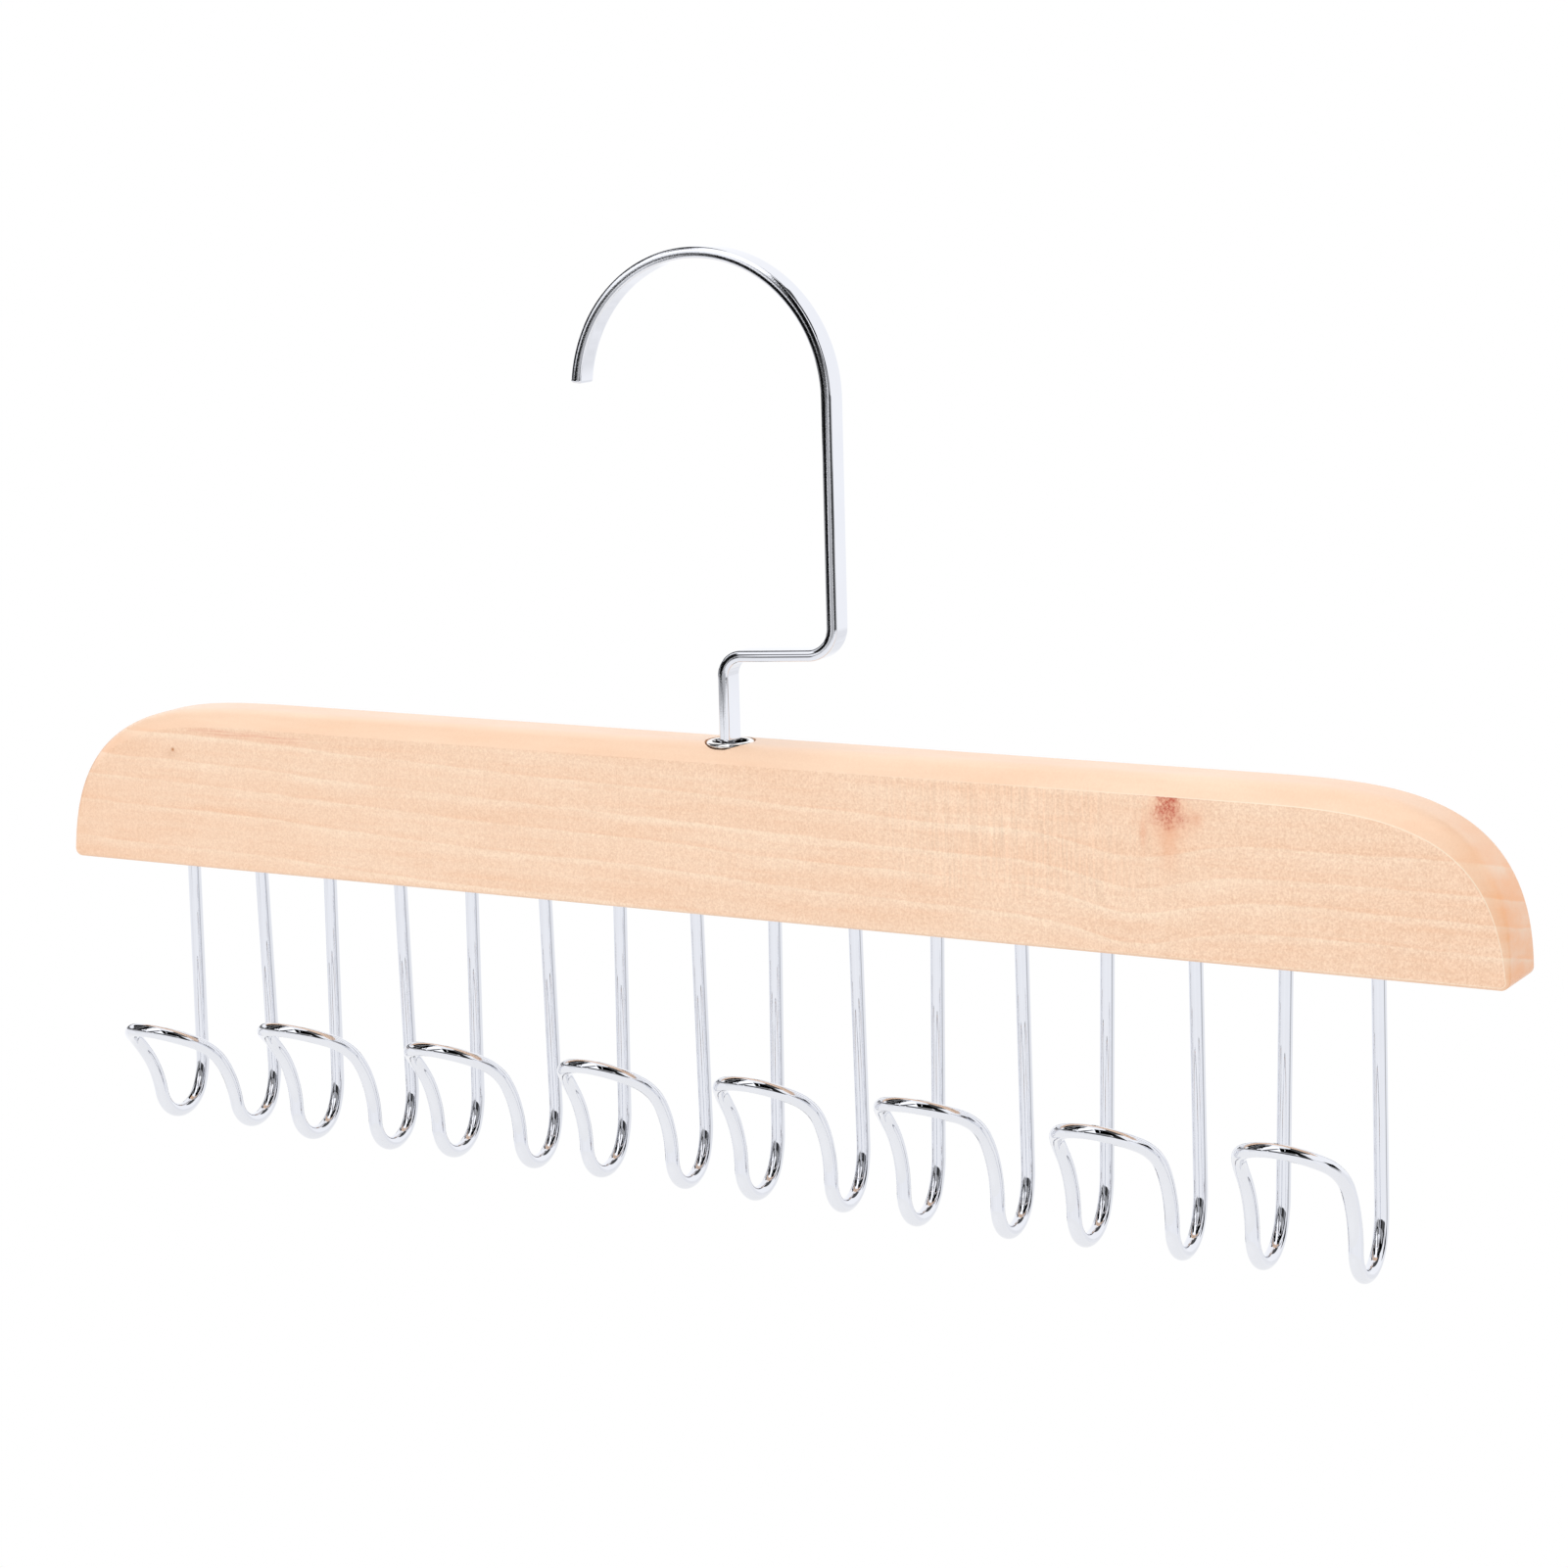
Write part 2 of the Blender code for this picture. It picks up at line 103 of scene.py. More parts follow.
class BarSizes(bpy.types.PropertyGroup):
    """Sizes of the wooden bar."""

    length: length("Length", "From end to end", 0.360)
    height: length("Height", "From the underside to the top", 0.038)
    thickness: length("Thickness", "From front to back", 0.016)
    shoulder_length: length("Shoulder length", "How far in from each end the top starts to fall", 0.067)
    power_along: number("Shoulder power along", "How square the shoulder is along the bar", 4.2)
    power_up: number("Shoulder power up", "How square the shoulder is upward", 2.5)
    ease_height: length("Eased edge height", "Height of the eased upper front edge", 0.0038)
    ease_depth: length("Eased edge depth", "How far back the eased front edge reaches", 0.0075)
    ease_power: number("Eased edge power", "How fast the eased edge flattens out", 3.0)
    back_radius: length("Back edge radius", "Rounding of the upper back edge", 0.0030)
    foot_radius: length("Foot edge radius", "Rounding of the edges at the ends' feet", 0.0006)
    corner_radius: length("Corner radius", "Rounding of the lower corners", 0.0020)
    fade_height: length("Fade height", "Height at which the edges reach their full rounding", 0.034)
    crease_radius: length("Crease radius", "Softening of the crease at the top of the front face", 0.00015)
    hole_gap: length("Hole gap", "Space round each wire in its hole", 0.0003)
    hole_depth: length("Hole depth", "How deep the wires' holes are", 0.022)


class WoodLook(bpy.types.PropertyGroup):
    """Colours and figure of the wood."""

    ground: color("Ground", "Main colour of the wood", 0.930, 0.650, 0.462)
    deep: color("Deep", "Warmer colour of the darker patches", 0.900, 0.560, 0.360)
    pale: color("Pale", "Colour of the growth lines and the paler patches", 0.980, 0.755, 0.565)
    end_grain: color("End grain", "Colour where the wood is cut across", 0.960, 0.455, 0.200)
    knot: color("Knot", "Colour of the knot's heart", 0.560, 0.100, 0.048)
    growth_lines: row(
        "Growth lines",
        "Height of each growth line's upper edge at the left end, in millimetres from the rod seat",
        *(-111.0, -117.4, -122.7, -129.0, -138.0),
    )
    line_fade: length("Line fade", "How far a growth line fades out below its edge", 0.0011)
    line_drop: length("Line drop", "How far the growth lines fall from the left end to the knot", 0.0073)
    fleck_strength: number("Fleck strength", "How much the short flecks show", 0.38)
    roughness: share("Roughness", "Roughness of the wood under its lacquer", 0.48)
    lacquer: share("Lacquer", "Weight of the satin lacquer", 0.45)
    lacquer_roughness: share("Lacquer roughness", "Roughness of the satin lacquer", 0.24)


class FlatHookSizes(bpy.types.PropertyGroup):
    """Sizes of the flat swivel hook."""

    strip_thickness: length("Strip thickness", "Thickness of the steel strip", 0.0025)
    strip_width: length("Strip width", "Width of the steel strip", 0.0056)
    corner_radius: length("Corner radius", "Rounding of the strip's long edges", 0.0004)
    crown_radius: length("Crown radius", "Rounding across the strip's narrow faces", 0.0050)
    seat_radius: length("Seat radius", "Inner radius of the arch", 0.0300)
    tip_above_level: angle("Tip above level", "Where the arch ends, above level", 5.0)
    tip_rounding: length("Tip rounding", "Rounding of the strip's cut end", 0.0005)
    shank_drop: length("Shank drop", "From the arch's middle to the joggle", 0.0555)
    joggle_slope: angle("Joggle slope", "Slope of the joggle", 3.2)
    upper_bend: length("Upper bend", "Radius of the joggle's outer bend", 0.0062)
    lower_bend: length("Lower bend", "Radius of the joggle's inner bend", 0.0048)
    pin_diameter: length("Pin diameter", "Diameter of the pin under the strip", 0.0046)
    head_rim: length("Head rim", "How far the swaged head stands out from the pin", 0.0016)
    head_thickness: length("Head thickness", "Thickness of the swaged head", 0.0014)
    head_edge: length("Head edge", "Rounding of the swaged head", 0.0005)


class EyeletSizes(bpy.types.PropertyGroup):
    """Sizes of the eyelet and the bore under it."""

    play: length("Play", "Space between the strip and the eyelet", 0.0006)
    wall: length("Wall", "Wall of the eyelet's barrel", 0.0004)
    overhang: length("Overhang", "How far the flange stands out from the barrel", 0.0013)
    height: length("Height", "Height of the domed flange", 0.0010)
    edge_inset: length("Edge inset", "How far the flange's underside stands in", 0.00015)
    edge_share: share("Edge share", "Height of the flange's upright edge, as a share of the whole", 0.28)
    dome_power: number("Dome power", "How pointed the dome is", 0.8)
    barrel_length: length("Barrel length", "Length of the barrel in the wood", 0.0060)
    sunk: length("Sunk", "Depth of the flat seat under the flange", 0.0012)
    washer_rim: length("Washer rim", "Width of the washer's ring", 0.0022)
    counterbore_room: length("Counterbore room", "Space round the washer", 0.0007)


class WireSizes(bpy.types.PropertyGroup):
    """Sizes of the eight bent wire hooks."""

    diameter: length("Diameter", "Thickness of the wire", 0.0031)
    end_margin: length("End margin", "From the bar's end to the first wire's leg", 0.030)
    leg_spacing: length("Leg spacing", "Between the two legs, where they leave the wood", 0.0200)
    loop_width: length("Loop width", "Between the two sides of the rounded end", 0.0223)
    leg_drop: length("Leg drop", "From the wood to the start of the bend", 0.0536)
    bend_radius: length("Bend radius", "Half the width of the forward bend", 0.0080)
    ease_radius: length("Ease radius", "Radius of the gentle start of the forward bend", 0.0176)
    ease_turn: angle("Ease turn", "How far the wire turns in that gentle start", 25.0)
    lip_radius: length("Lip radius", "Radius of the outward bend of the end", 0.0249)
    lip_straight: length("Lip straight", "Straight run after the outward bend", 0.0066)
    end_depth: length("End depth", "Length of the rounded end", 0.0170)
    lean: angle("Lean", "Lean of the riser after the forward bend", 2.7)
    lip_turn: angle("Lip turn", "How far the end is bent outward", 58.6)
    sides: IntProperty(name="Sides", description="Sides round the wire", default=32, min=8, max=64)
    drops: row(
        "Drop changes",
        "Each hook's own change of its leg drop, as a share",
        *(-0.023, -0.002, -0.006, -0.006, 0.003, 0.019, 0.010, 0.004),
    )
    leans: row(
        "Lean changes",
        "Each hook's own change of its lean, in degrees",
        *(8.3, -1.2, 0.0, -0.6, -2.0, -3.2, -0.4, -1.0),
    )
    lips: row(
        "Lip changes",
        "Each hook's own change of its lip turn, in degrees",
        *(-8.2, 3.8, 0.3, -2.4, 0.7, 6.3, 0.2, -0.6),
    )


class MetalLook(bpy.types.PropertyGroup):
    """Colours of the metal finishes."""

    chrome: color("Chrome", "Colour of the polished chrome", 0.80, 0.813, 0.855)
    chrome_roughness: share("Chrome roughness", "Roughness of the polished chrome", 0.022)
    nickel: color("Nickel", "Colour of the eyelet's plating", 0.97, 0.96, 0.95)
    # Painted shade inside the eyelet's hole, and painted gleams in it
    eyelet_hole_shade: color("Eyelet dark", "Colour inside the eyelet's hole", 0.025, 0.023, 0.021)
    eyelet_gleam: color("Eyelet gleam", "Colour of the gleams inside the eyelet's hole", 0.60, 0.60, 0.60)
    zinc: color("Zinc", "Colour of the zinc plate", 0.62, 0.62, 0.60)
    zinc_roughness: share("Zinc roughness", "Roughness of the zinc plate", 0.35)


class StageLook(bpy.types.PropertyGroup):
    """Camera, lamps, floor and the light tent that the metal mirrors."""

    camera_place: row(
        "Camera place",
        "Where the camera stands",
        *(0.411898, -0.706356, 0.037747),
        subtype="XYZ",
        unit="LENGTH",
    )
    camera_azimuth: angle("Camera azimuth", "Turn to the right of the front", 29.20175)
    camera_elevation: angle("Camera elevation", "Height above level", 10.63132)
    camera_roll: angle("Camera roll", "Turn about the line of sight", 1.56932)
    lens: number("Lens", "Focal length for a 36 mm sensor", 86.489, unit="CAMERA")
    world_level: number("World level", "Light from all sides", 0.908)
    key_power: number("Key power", "Large lamp at the left", 10.2, unit="POWER")
    top_power: number("Top power", "Large lamp overhead", 5.7, unit="POWER")
    floor_height: length("Floor height", "Where the floor is", -0.62)
    floor_color: color("Floor colour", "Colour of the floor near the hanger", 0.80, 0.80, 0.80)
    floor_lift: number("Floor lift", "Light added where the floor is seen, so that it shows white", 0.30)
    tent_radius: length("Tent radius", "Distance of the tent's wall", 0.90)
    tent_height: length("Tent height", "Height of the tent's top", 2.4)
    tent_color: color("Tent colour", "Tint of the tent's cloth", 0.975, 0.980, 1.0)
    tent_level: number("Tent level", "Brightness of the tent's cloth", 1.03)
    dark_level: number("Dark level", "Brightness of the dark panels", 0.005)
    window_level: number("Window level", "Brightness of the front softbox", 1.40)


# Node sheets
def formula(operation, swapped=False):
    """A method of Value that adds one math node."""

    def method(self, *others):
        values = (*others, self) if swapped else (self, *others)
        return self.sheet.math(operation, *values)

    return method


class Value:
    """An output of a node, with which formulas can be written plainly."""

    def __init__(self, sheet, socket):
        self.sheet = sheet
        self.socket = socket

    __add__ = __radd__ = formula("ADD")
    __mul__ = __rmul__ = formula("MULTIPLY")
    __sub__ = formula("SUBTRACT")
    __rsub__ = formula("SUBTRACT", swapped=True)
    __truediv__ = formula("DIVIDE")
    __rtruediv__ = formula("DIVIDE", swapped=True)
    __pow__ = formula("POWER")
    __abs__ = formula("ABSOLUTE")
    root = formula("SQRT")
    exponent = formula("EXPONENT")
    sine = formula("SINE")
    cosine = formula("COSINE")
    degrees = formula("DEGREES")
    at_least = formula("MAXIMUM")
    at_most = formula("MINIMUM")

    def __neg__(self):
        return self * -1.0

    def ease(self, low, high):
        """Rises smoothly from 0 at low to 1 at high."""
        inputs = {0: self, 1: low, 2: high, 3: 0.0, 4: 1.0}
        return self.sheet.add("ShaderNodeMapRange", inputs, interpolation_type="SMOOTHSTEP")

    def fall(self, low, high):
        """Falls smoothly from 1 at low to 0 at high."""
        return 1.0 - self.ease(low, high)

    def rise(self, low, high):
        """Rises evenly from 0 at low to 1 at high."""
        return self.sheet.math("MULTIPLY", self - low, 1.0 / (high - low), clamp=True)

    def between(self, low, high, soft):
        """1 between two values and 0 outside, with soft borders."""
        return self.ease(low - soft, low + soft) * self.fall(high - soft, high + soft)

    def hump(self, middle, width):
        """A bell curve of height 1."""
        off = (self - middle) * (1.0 / width)
        return (-(off * off)).exponent()

    def split(self):
        """The three parts of a vector."""
        node = self.sheet.node("ShaderNodeSeparateXYZ", {0: self})
        return [Value(self.sheet, part) for part in node.outputs]

    def noise(self, scales, detail=2.0, rough=0.5):
        """Noise around zero at a place, with its own scale along each axis."""
        scaled = self.sheet.add("ShaderNodeMapping", {"Vector": self, "Scale": Vector(scales)})
        inputs = {"Vector": scaled, "Scale": 1.0, "Detail": detail, "Roughness": rough}
        return self.sheet.add("ShaderNodeTexNoise", inputs) - 0.5

    def stained(self, amount, color):
        """This colour, mixed with another one."""
        return self.sheet.blend(amount, self, color)


class NodeSheet:
    """Adds and links the nodes of one tree."""

    def __init__(self, tree):
        self.tree = tree

    def feed(self, node, inputs):
        """Links a node's inputs to values, or sets them."""
        for name, value in inputs.items():
            socket = node.inputs[name]
            if isinstance(value, Value):
                self.tree.links.new(value.socket, socket)
            elif socket.type == "RGBA" and len(value) == 3:
                socket.default_value = (*value, 1.0)
            else:
                socket.default_value = value

    def node(self, kind, inputs=None, **settings):
        """Adds a node with its settings and inputs."""
        node = self.tree.nodes.new(kind)
        for name, value in settings.items():
            setattr(node, name, value)
        self.feed(node, inputs or {})
        return node

    def add(self, kind, inputs=None, output=0, **settings):
        """Adds a node and gives one of its outputs."""
        return Value(self, self.node(kind, inputs, **settings).outputs[output])

    def paint(self, **inputs):
        """Feeds the shader of a surface."""
        named = {name.replace("_", " "): value for name, value in inputs.items()}
        self.feed(self.tree.nodes["Principled BSDF"], named)

    def math(self, operation, *values, clamp=False):
        """One sum, product or other formula of single values."""
        return self.add("ShaderNodeMath", dict(enumerate(values)), operation=operation, use_clamp=clamp)

    def ramp(self, value, stops):
        """A value that runs through (place, level) stops."""
        node = self.node("ShaderNodeValToRGB", {0: value})
        node.color_ramp.interpolation = "B_SPLINE"
        elements = node.color_ramp.elements
        while len(elements) < len(stops):
            elements.new(0.5)
        for element, (place, level) in zip(elements, stops):
            element.position = place
            element.color = (level, level, level, 1.0)
        return self.add("ShaderNodeRGBToBW", {0: Value(self, node.outputs[0])})

    def blend(self, factor, first, second):
        """Mixes two colours."""
        return self.add("ShaderNodeMix", {0: factor, 6: first, 7: second}, 2, data_type="RGBA")

    def lerp(self, factor, first, second):
        """Mixes two single values."""
        return self.add("ShaderNodeMix", {0: factor, 2: first, 3: second}, data_type="FLOAT")

    def join(self, x, y, z):
        """A vector from its three parts."""
        return self.add("ShaderNodeCombineXYZ", {0: x, 1: y, 2: z})

    def scale(self, vector, factor):
        """A longer or shorter vector."""
        return self.add("ShaderNodeVectorMath", {0: vector, "Scale": factor}, operation="SCALE")

    def bump(self, height, strength, distance):
        """A normal that shows a fine height, with its distance in millimetres."""
        inputs = {"Height": height, "Strength": strength, "Distance": distance * MM}
        return self.add("ShaderNodeBump", inputs)


def away(x, y):
    """Distance from the middle."""
    return (x * x + y * y).root()


def spot(x, z, middle, size):
    """A soft spot of height 1; middle and size are (x, z)."""
    return x.hump(middle[0], size[0]) * z.hump(middle[1], size[1])


def new_tree(name, kind, inputs, outputs):
    """The sheet of a new node group, its named inputs and its output node."""
    tree = bpy.data.node_groups.new(name, kind)
    for in_out, sockets in (("INPUT", inputs), ("OUTPUT", outputs)):
        for label, socket in sockets.items():
            tree.interface.new_socket(label, in_out=in_out, socket_type=f"NodeSocket{socket}")
    sheet = NodeSheet(tree)
    given = sheet.node("NodeGroupInput").outputs
    return sheet, {label: Value(sheet, given[label]) for label in inputs}, sheet.node("NodeGroupOutput")


def wear_group():
    """Fine marks of handling: a mask of faint smudges and the height of hair scratches."""
    name = "handling_marks"
    if name in bpy.data.node_groups:
        return bpy.data.node_groups[name]
    inputs = {"Place": "Vector", "Smudge size": "Float", "Grain size": "Float"}
    sheet, given, result = new_tree(name, "ShaderNodeTree", inputs, {"Smudges": "Float", "Grain": "Float"})
    smudges = {"Vector": given["Place"], "Scale": 1.0 / given["Smudge size"], "Detail": 4.0}
    grain = {"Vector": given["Place"], "Scale": 1.0 / given["Grain size"], "Detail": 3.0, "Roughness": 0.6}
    mask = sheet.add("ShaderNodeTexNoise", smudges).ease(0.42, 0.66)
    sheet.feed(result, {"Smudges": mask, "Grain": sheet.add("ShaderNodeTexNoise", grain)})
    return sheet.tree


def handling(sheet, place, smudge_size, grain_size):
    """The shared smudges and grain with a material's own sizes, in millimetres."""
    inputs = {"Place": place, "Smudge size": smudge_size, "Grain size": grain_size}
    node = sheet.node("ShaderNodeGroup", node_tree=wear_group())
    sheet.feed(node, inputs)
    return [Value(sheet, output) for output in node.outputs]


def new_material(name):
    """A material with its sheet, object coordinates in millimetres and the normal."""
    material = bpy.data.materials.new(name)
    material.use_nodes = True
    sheet = NodeSheet(material.node_tree)
    place = sheet.add("ShaderNodeTexCoord", output="Object")
    return material, sheet, sheet.scale(place, 1.0 / MM), sheet.add("ShaderNodeTexCoord", output="Normal")


# Wood: places and sizes are in millimetres, (x, z) from the rod seat, and colours are linear
STREAK_COLOR = (0.80, 0.38, 0.24)
DOT, DOT_COLOR = (-144.3, -115.2), (0.50, 0.19, 0.06)
DOT_SHADE = (-144.9, -116.2)
MARK, MARK_COLOR = (159.3, -136.6), (0.78, 0.45, 0.27)
KNOT, KNOT_HEIGHT = (111.3, -110.6), 4.6
HALO_COLOR, TAIL_COLOR = (0.90, 0.47, 0.28), (0.87, 0.42, 0.23)
LEFT_PATCH, RIGHT_PATCH, PATCH_COLOR = (105.8, -117.0), (117.6, -113.2), (0.80, 0.38, 0.22)
# Colour of the painted highlight along the front crease
CREASE_HIGHLIGHT_COLOR = (0.99, 0.84, 0.66)


def growth_lines(look, place, front):
    """Pale lines that fall from the left end to the knot, dip round it and fade out below their edges."""
    x, y, z = place.split()
    drop = x.rise(-175.0, 60.0) * (-look.line_drop / MM)
    dip = x.hump(103.0, 15.0) * -4.0 * front
    sway = place.noise((0.012, 0.02, 0.03), 1.0) * 2.2
    ripple = place.noise((0.10, 0.1, 0.25), 3.0) * 0.9
    height = z - (drop + dip + (sway + ripple)) + (y + 7.6) * 0.25
    fade = 2.2 * look.line_fade / MM
    lines = 0.0
    for edge in look.growth_lines:
        below = height.rise(edge - fade, edge) ** 1.6 * height.fall(edge - 0.1, edge + 0.35)
        lines = lines + below - height.hump(edge + 0.55, 0.45) * 0.35
    return lines * (0.75 + place.noise((0.05, 0.2, 0.3), 3.0) * 1.9)


def with_marks(body, place, front):
    """A darker streak and a brown dot near the left shoulder and a faint mark near the right end."""
    x, _, z = place.split()
    streak = x.between(-138.0, -106.0, 4.0) * (z + x * 0.03).hump(-114.3, 0.8) * front
    body = body.stained(streak * (0.5 + place.noise((0.12, 0.1, 3.4), 3.0) * 3.0) * 0.7, STREAK_COLOR)
    dot = spot(x, z, DOT, (0.42, 0.42)) + spot(x, z, DOT_SHADE, (1.6, 1.0)) * 0.22
    body = body.stained(dot * front, DOT_COLOR)
    mark = spot(x, z, MARK, (1.6, 1.7)) * front * (0.5 + place.noise((0.7, 0.7, 0.7)) * 2.0)
    return body.stained(mark * 0.5, MARK_COLOR)


def with_knot(body, place, front, heart_color):
    """A mottled knot under the crease, with a fading streak below it and a faint patch on either side."""
    x, _, z = place.split()
    rag_x = place.noise((0.8, 0.8, 0.6), 3.0, 0.7) * 5.0
    rag_z = place.noise((0.5, 0.6, 0.9), 3.0, 0.7) * 5.0
    wider_below = 0.5 - z.fall(-115.0, -107.5) * 0.25
    reach = away((x + rag_x - KNOT[0]) * wider_below, (z + rag_z - KNOT[1]) * (1.0 / KNOT_HEIGHT))
    rim = (z + rag_z * 0.12).hump(-108.9, 0.45) * x.between(105.0, 119.0, 5.0)
    mottle = 0.62 + place.noise((1.9, 1.3, 1.5), 2.0, 0.7) * 2.6
    heart = (reach.fall(0.25, 1.6) * 1.15 + rim * 0.6) * front * mottle
    tail = (x + rag_x * 0.4).hump(111.6, 2.0) * z.between(-122.0, -112.0, 6.0)
    left_patch = spot(x + rag_x * 0.3, z, LEFT_PATCH, (0.8, 2.6))
    patches = left_patch + spot(x, z + rag_z * 0.4, RIGHT_PATCH, (1.5, 1.9))
    body = body.stained(reach.fall(0.6, 2.6) * front * 0.45, HALO_COLOR)
    body = body.stained(tail * front * 0.55, TAIL_COLOR)
    body = body.stained(patches * front * 0.5, PATCH_COLOR)
    return body.stained(heart, heart_color)


def maple():
    """Pale maple with growth lines, short flecks, a knot and a satin lacquer."""
    look = bpy.context.scene.hanger_wood
    material, sheet, place, normal = new_material("pale_maple")
    x, y, z = place.split()
    nx, ny, _ = normal.split()
    flat = abs(ny).ease(0.86, 0.97)
    front = y.fall(-7.0, 2.0) * flat

    # Long patches, short flecks that grow coarser to the right, and upright streaks left of the knot
    lines = growth_lines(look, place, front)
    patches = place.noise((0.035, 0.10, 0.22), 4.0, 0.55)
    long_grain = place.noise((0.02, 0.9, 0.9), 3.0, 0.6)
    flecks = place.noise((2.3, 1.2, 1.9), 3.0, 0.75) * (0.85 + x.rise(-180.0, 150.0) * 0.5)
    streak_area = x.between(50.0, 104.0, 14.0) * z.between(-132.0, -106.0, 3.0)
    streaks = place.noise((1.6, 0.6, 0.08)) * (streak_area * 0.25 + 0.06)
    shown = flat * 0.8 + 0.2
    tone = 1.0 + (flecks * (look.fleck_strength * 0.9) + streaks) * shown

    # Ground, warmer and paler parts, and the cut grain of the ends
    ends = abs(x - SWIVEL.x / MM).rise(140.0, 184.0)
    fine_part = flecks * (look.fleck_strength * 6.0) + long_grain * 0.9
    level = lines * 0.72 + patches * 1.4 + (fine_part * shown - ends * 0.35)
    body = sheet.blend(level.rise(0.0, -0.9), look.ground, look.deep)
    body = body.stained(level.rise(0.0, 0.9), look.pale)
    end_level = lines * 0.38 + (patches * 1.1 + 0.33)
    end = sheet.blend(end_level.ease(0.0, 1.0), look.end_grain, look.ground)
    body = sheet.scale(body.stained(abs(nx) ** 2.0, end), tone)

    # Marks, the knot, and a painted highlight along the front crease, clearest at the right shoulder
    body = with_knot(with_marks(body, place, front), place, front, look.knot)
    crease = sheet.add("ShaderNodeAttribute", output="Fac", attribute_name="crease")
    body = body.stained(crease * x.ease(0.0, 165.0), CREASE_HIGHLIGHT_COLOR)

    smudges, grain = handling(sheet, place, 14.0, 0.35)
    sheet.paint(
        Base_Color=body,
        Roughness=look.roughness + (flecks * 0.12 + smudges * 0.05),
        Coat_Weight=look.lacquer,
        Coat_Roughness=look.lacquer_roughness,
        Normal=sheet.bump(flecks + streaks + grain * 0.3, 0.35, 0.04),
    )
    return material


# Metals
def chrome(name, speckled):
    """Polished chrome; the sheared narrow faces of the strip are finely speckled, but for the joggle."""
    look = bpy.context.scene.hanger_metal
    material, sheet, place, normal = new_material(name)
    smudges = handling(sheet, place, 9.0, 0.30)[0]
    rough = look.chrome_roughness + smudges * 0.02
    if speckled:
        x, _, z = place.split()
        shank_x = bpy.context.scene.hanger_flat_hook.seat_radius / MM
        joggle = x.between(SWIVEL.x / MM + 3.0, shank_x - 2.0, 1.5) * z.fall(-62.0, -58.0)
        sheared = abs(normal.split()[1]).ease(0.94, 0.985) * (1.0 - joggle)
        sheet.paint(Normal=sheet.bump(place.noise((3.2, 3.2, 3.2), 3.0, 0.7) * sheared, 0.14, 0.05))
        rough = rough + sheared * 0.02
    tint = sheet.blend(smudges * 0.25, look.chrome, [part * 0.95 for part in look.chrome])
    sheet.paint(Base_Color=tint, Metallic=1.0, Roughness=rough)
    return material


def nickel():
    """Bright plating on the eyelet's flange, with painted shade inside its hole and a few painted gleams
    in that shade.
    """
    look = bpy.context.scene.hanger_metal
    material, sheet, place, _ = new_material("eyelet_nickel")
    x, y, z = place.split()
    seat = (SWIVEL.z - bpy.context.scene.hanger_eyelet.sunk) / MM
    hole = eyelet_radii()[0] / MM
    # The plating shows on the flange; below it and towards the hole, the colour and its reflection turn to
    # painted shade with painted gleams
    lit = z.rise(seat + 0.2, seat + 0.85) * away(x - SWIVEL.x / MM, y).rise(hole + 0.15, hole + 0.55)
    gleam = place.noise((0.9, 0.9, 0.3), 1.0).ease(-0.05, 0.10)
    tint = sheet.blend(gleam, look.eyelet_hole_shade, look.eyelet_gleam).stained(lit, look.nickel)
    rough = look.chrome_roughness + handling(sheet, place, 3.0, 0.2)[0] * 0.03
    sheet.paint(Base_Color=tint, Specular_Tint=tint, Metallic=1.0, Roughness=rough)
    return material


def zinc():
    """Dull zinc plate with a fine grain."""
    look = bpy.context.scene.hanger_metal
    material, sheet, place, _ = new_material("zinc_plate")
    smudges, grain = handling(sheet, place, 2.5, 0.12)
    tint = sheet.blend(smudges, look.zinc, [part * 0.86 for part in look.zinc])
    rough = look.zinc_roughness - 0.06 + grain * 0.14
    sheet.paint(Base_Color=tint, Metallic=1.0, Roughness=rough, Normal=sheet.bump(grain, 0.3, 0.02))
    return material


# Meshes
def new_object(name, data):
    """An object in the scene."""
    thing = bpy.data.objects.new(name, data)
    bpy.context.scene.collection.objects.link(thing)
    return thing


def mesh_object(name, shape):
    """An object from a bmesh, with its faces turned outwards."""
    mesh = bpy.data.meshes.new(name)
    bmesh.ops.recalc_face_normals(shape, faces=shape.faces)
    shape.to_mesh(mesh)
    shape.free()
    return new_object(name, mesh)


def dress(piece, material, body, node):
    """Gives a piece its finish, unless it has one, and ties it to the model."""
    if material is not None:
        piece.data.materials.clear()
        piece.data.materials.append(material)
    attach(piece, body)
    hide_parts(node)


def shade(piece, degrees):
    """Smooth faces, with sharp edges above an angle."""
    piece.data.shade_smooth()
    piece.data.set_sharp_from_angle(angle=radians(degrees))


def finish_piece(name, shape, material, body, node):
    """Makes a bmesh into one piece that stands for a node."""
    piece = mesh_object(name, shape)
    shade(piece, 32.0)
    dress(piece, material, body, node)


def plain_mesh(source, name):
    """A new mesh object with the source's modifiers applied; the source is removed."""
    bpy.context.view_layer.update()
    evaluated = source.evaluated_get(bpy.context.evaluated_depsgraph_get())
    mesh = bpy.data.meshes.new_from_object(evaluated)
    mesh.name = name
    bpy.data.objects.remove(source, do_unlink=True)
    return new_object(name, mesh)


def steps_to(count, whole=1.0):
    """Even steps from 0 to the whole."""
    return [whole * step / count for step in range(count + 1)]


def ring_of(shape, points):
    """One closed ring of vertices."""
    return [shape.verts.new(point) for point in points]


def skin(shape, rings, closed=False):
    """Faces between neighbouring rings, with caps unless the rings close on themselves."""
    pairs = list(zip(rings, rings[1:]))
    if closed:
        pairs.append((rings[-1], rings[0]))
    for lower, upper in pairs:
        for index in range(len(lower)):
            after = (index + 1) % len(lower)
            shape.faces.new((lower[index], lower[after], upper[after], upper[index]))
    if not closed:
        shape.faces.new(rings[0][::-1])
        shape.faces.new(rings[-1])


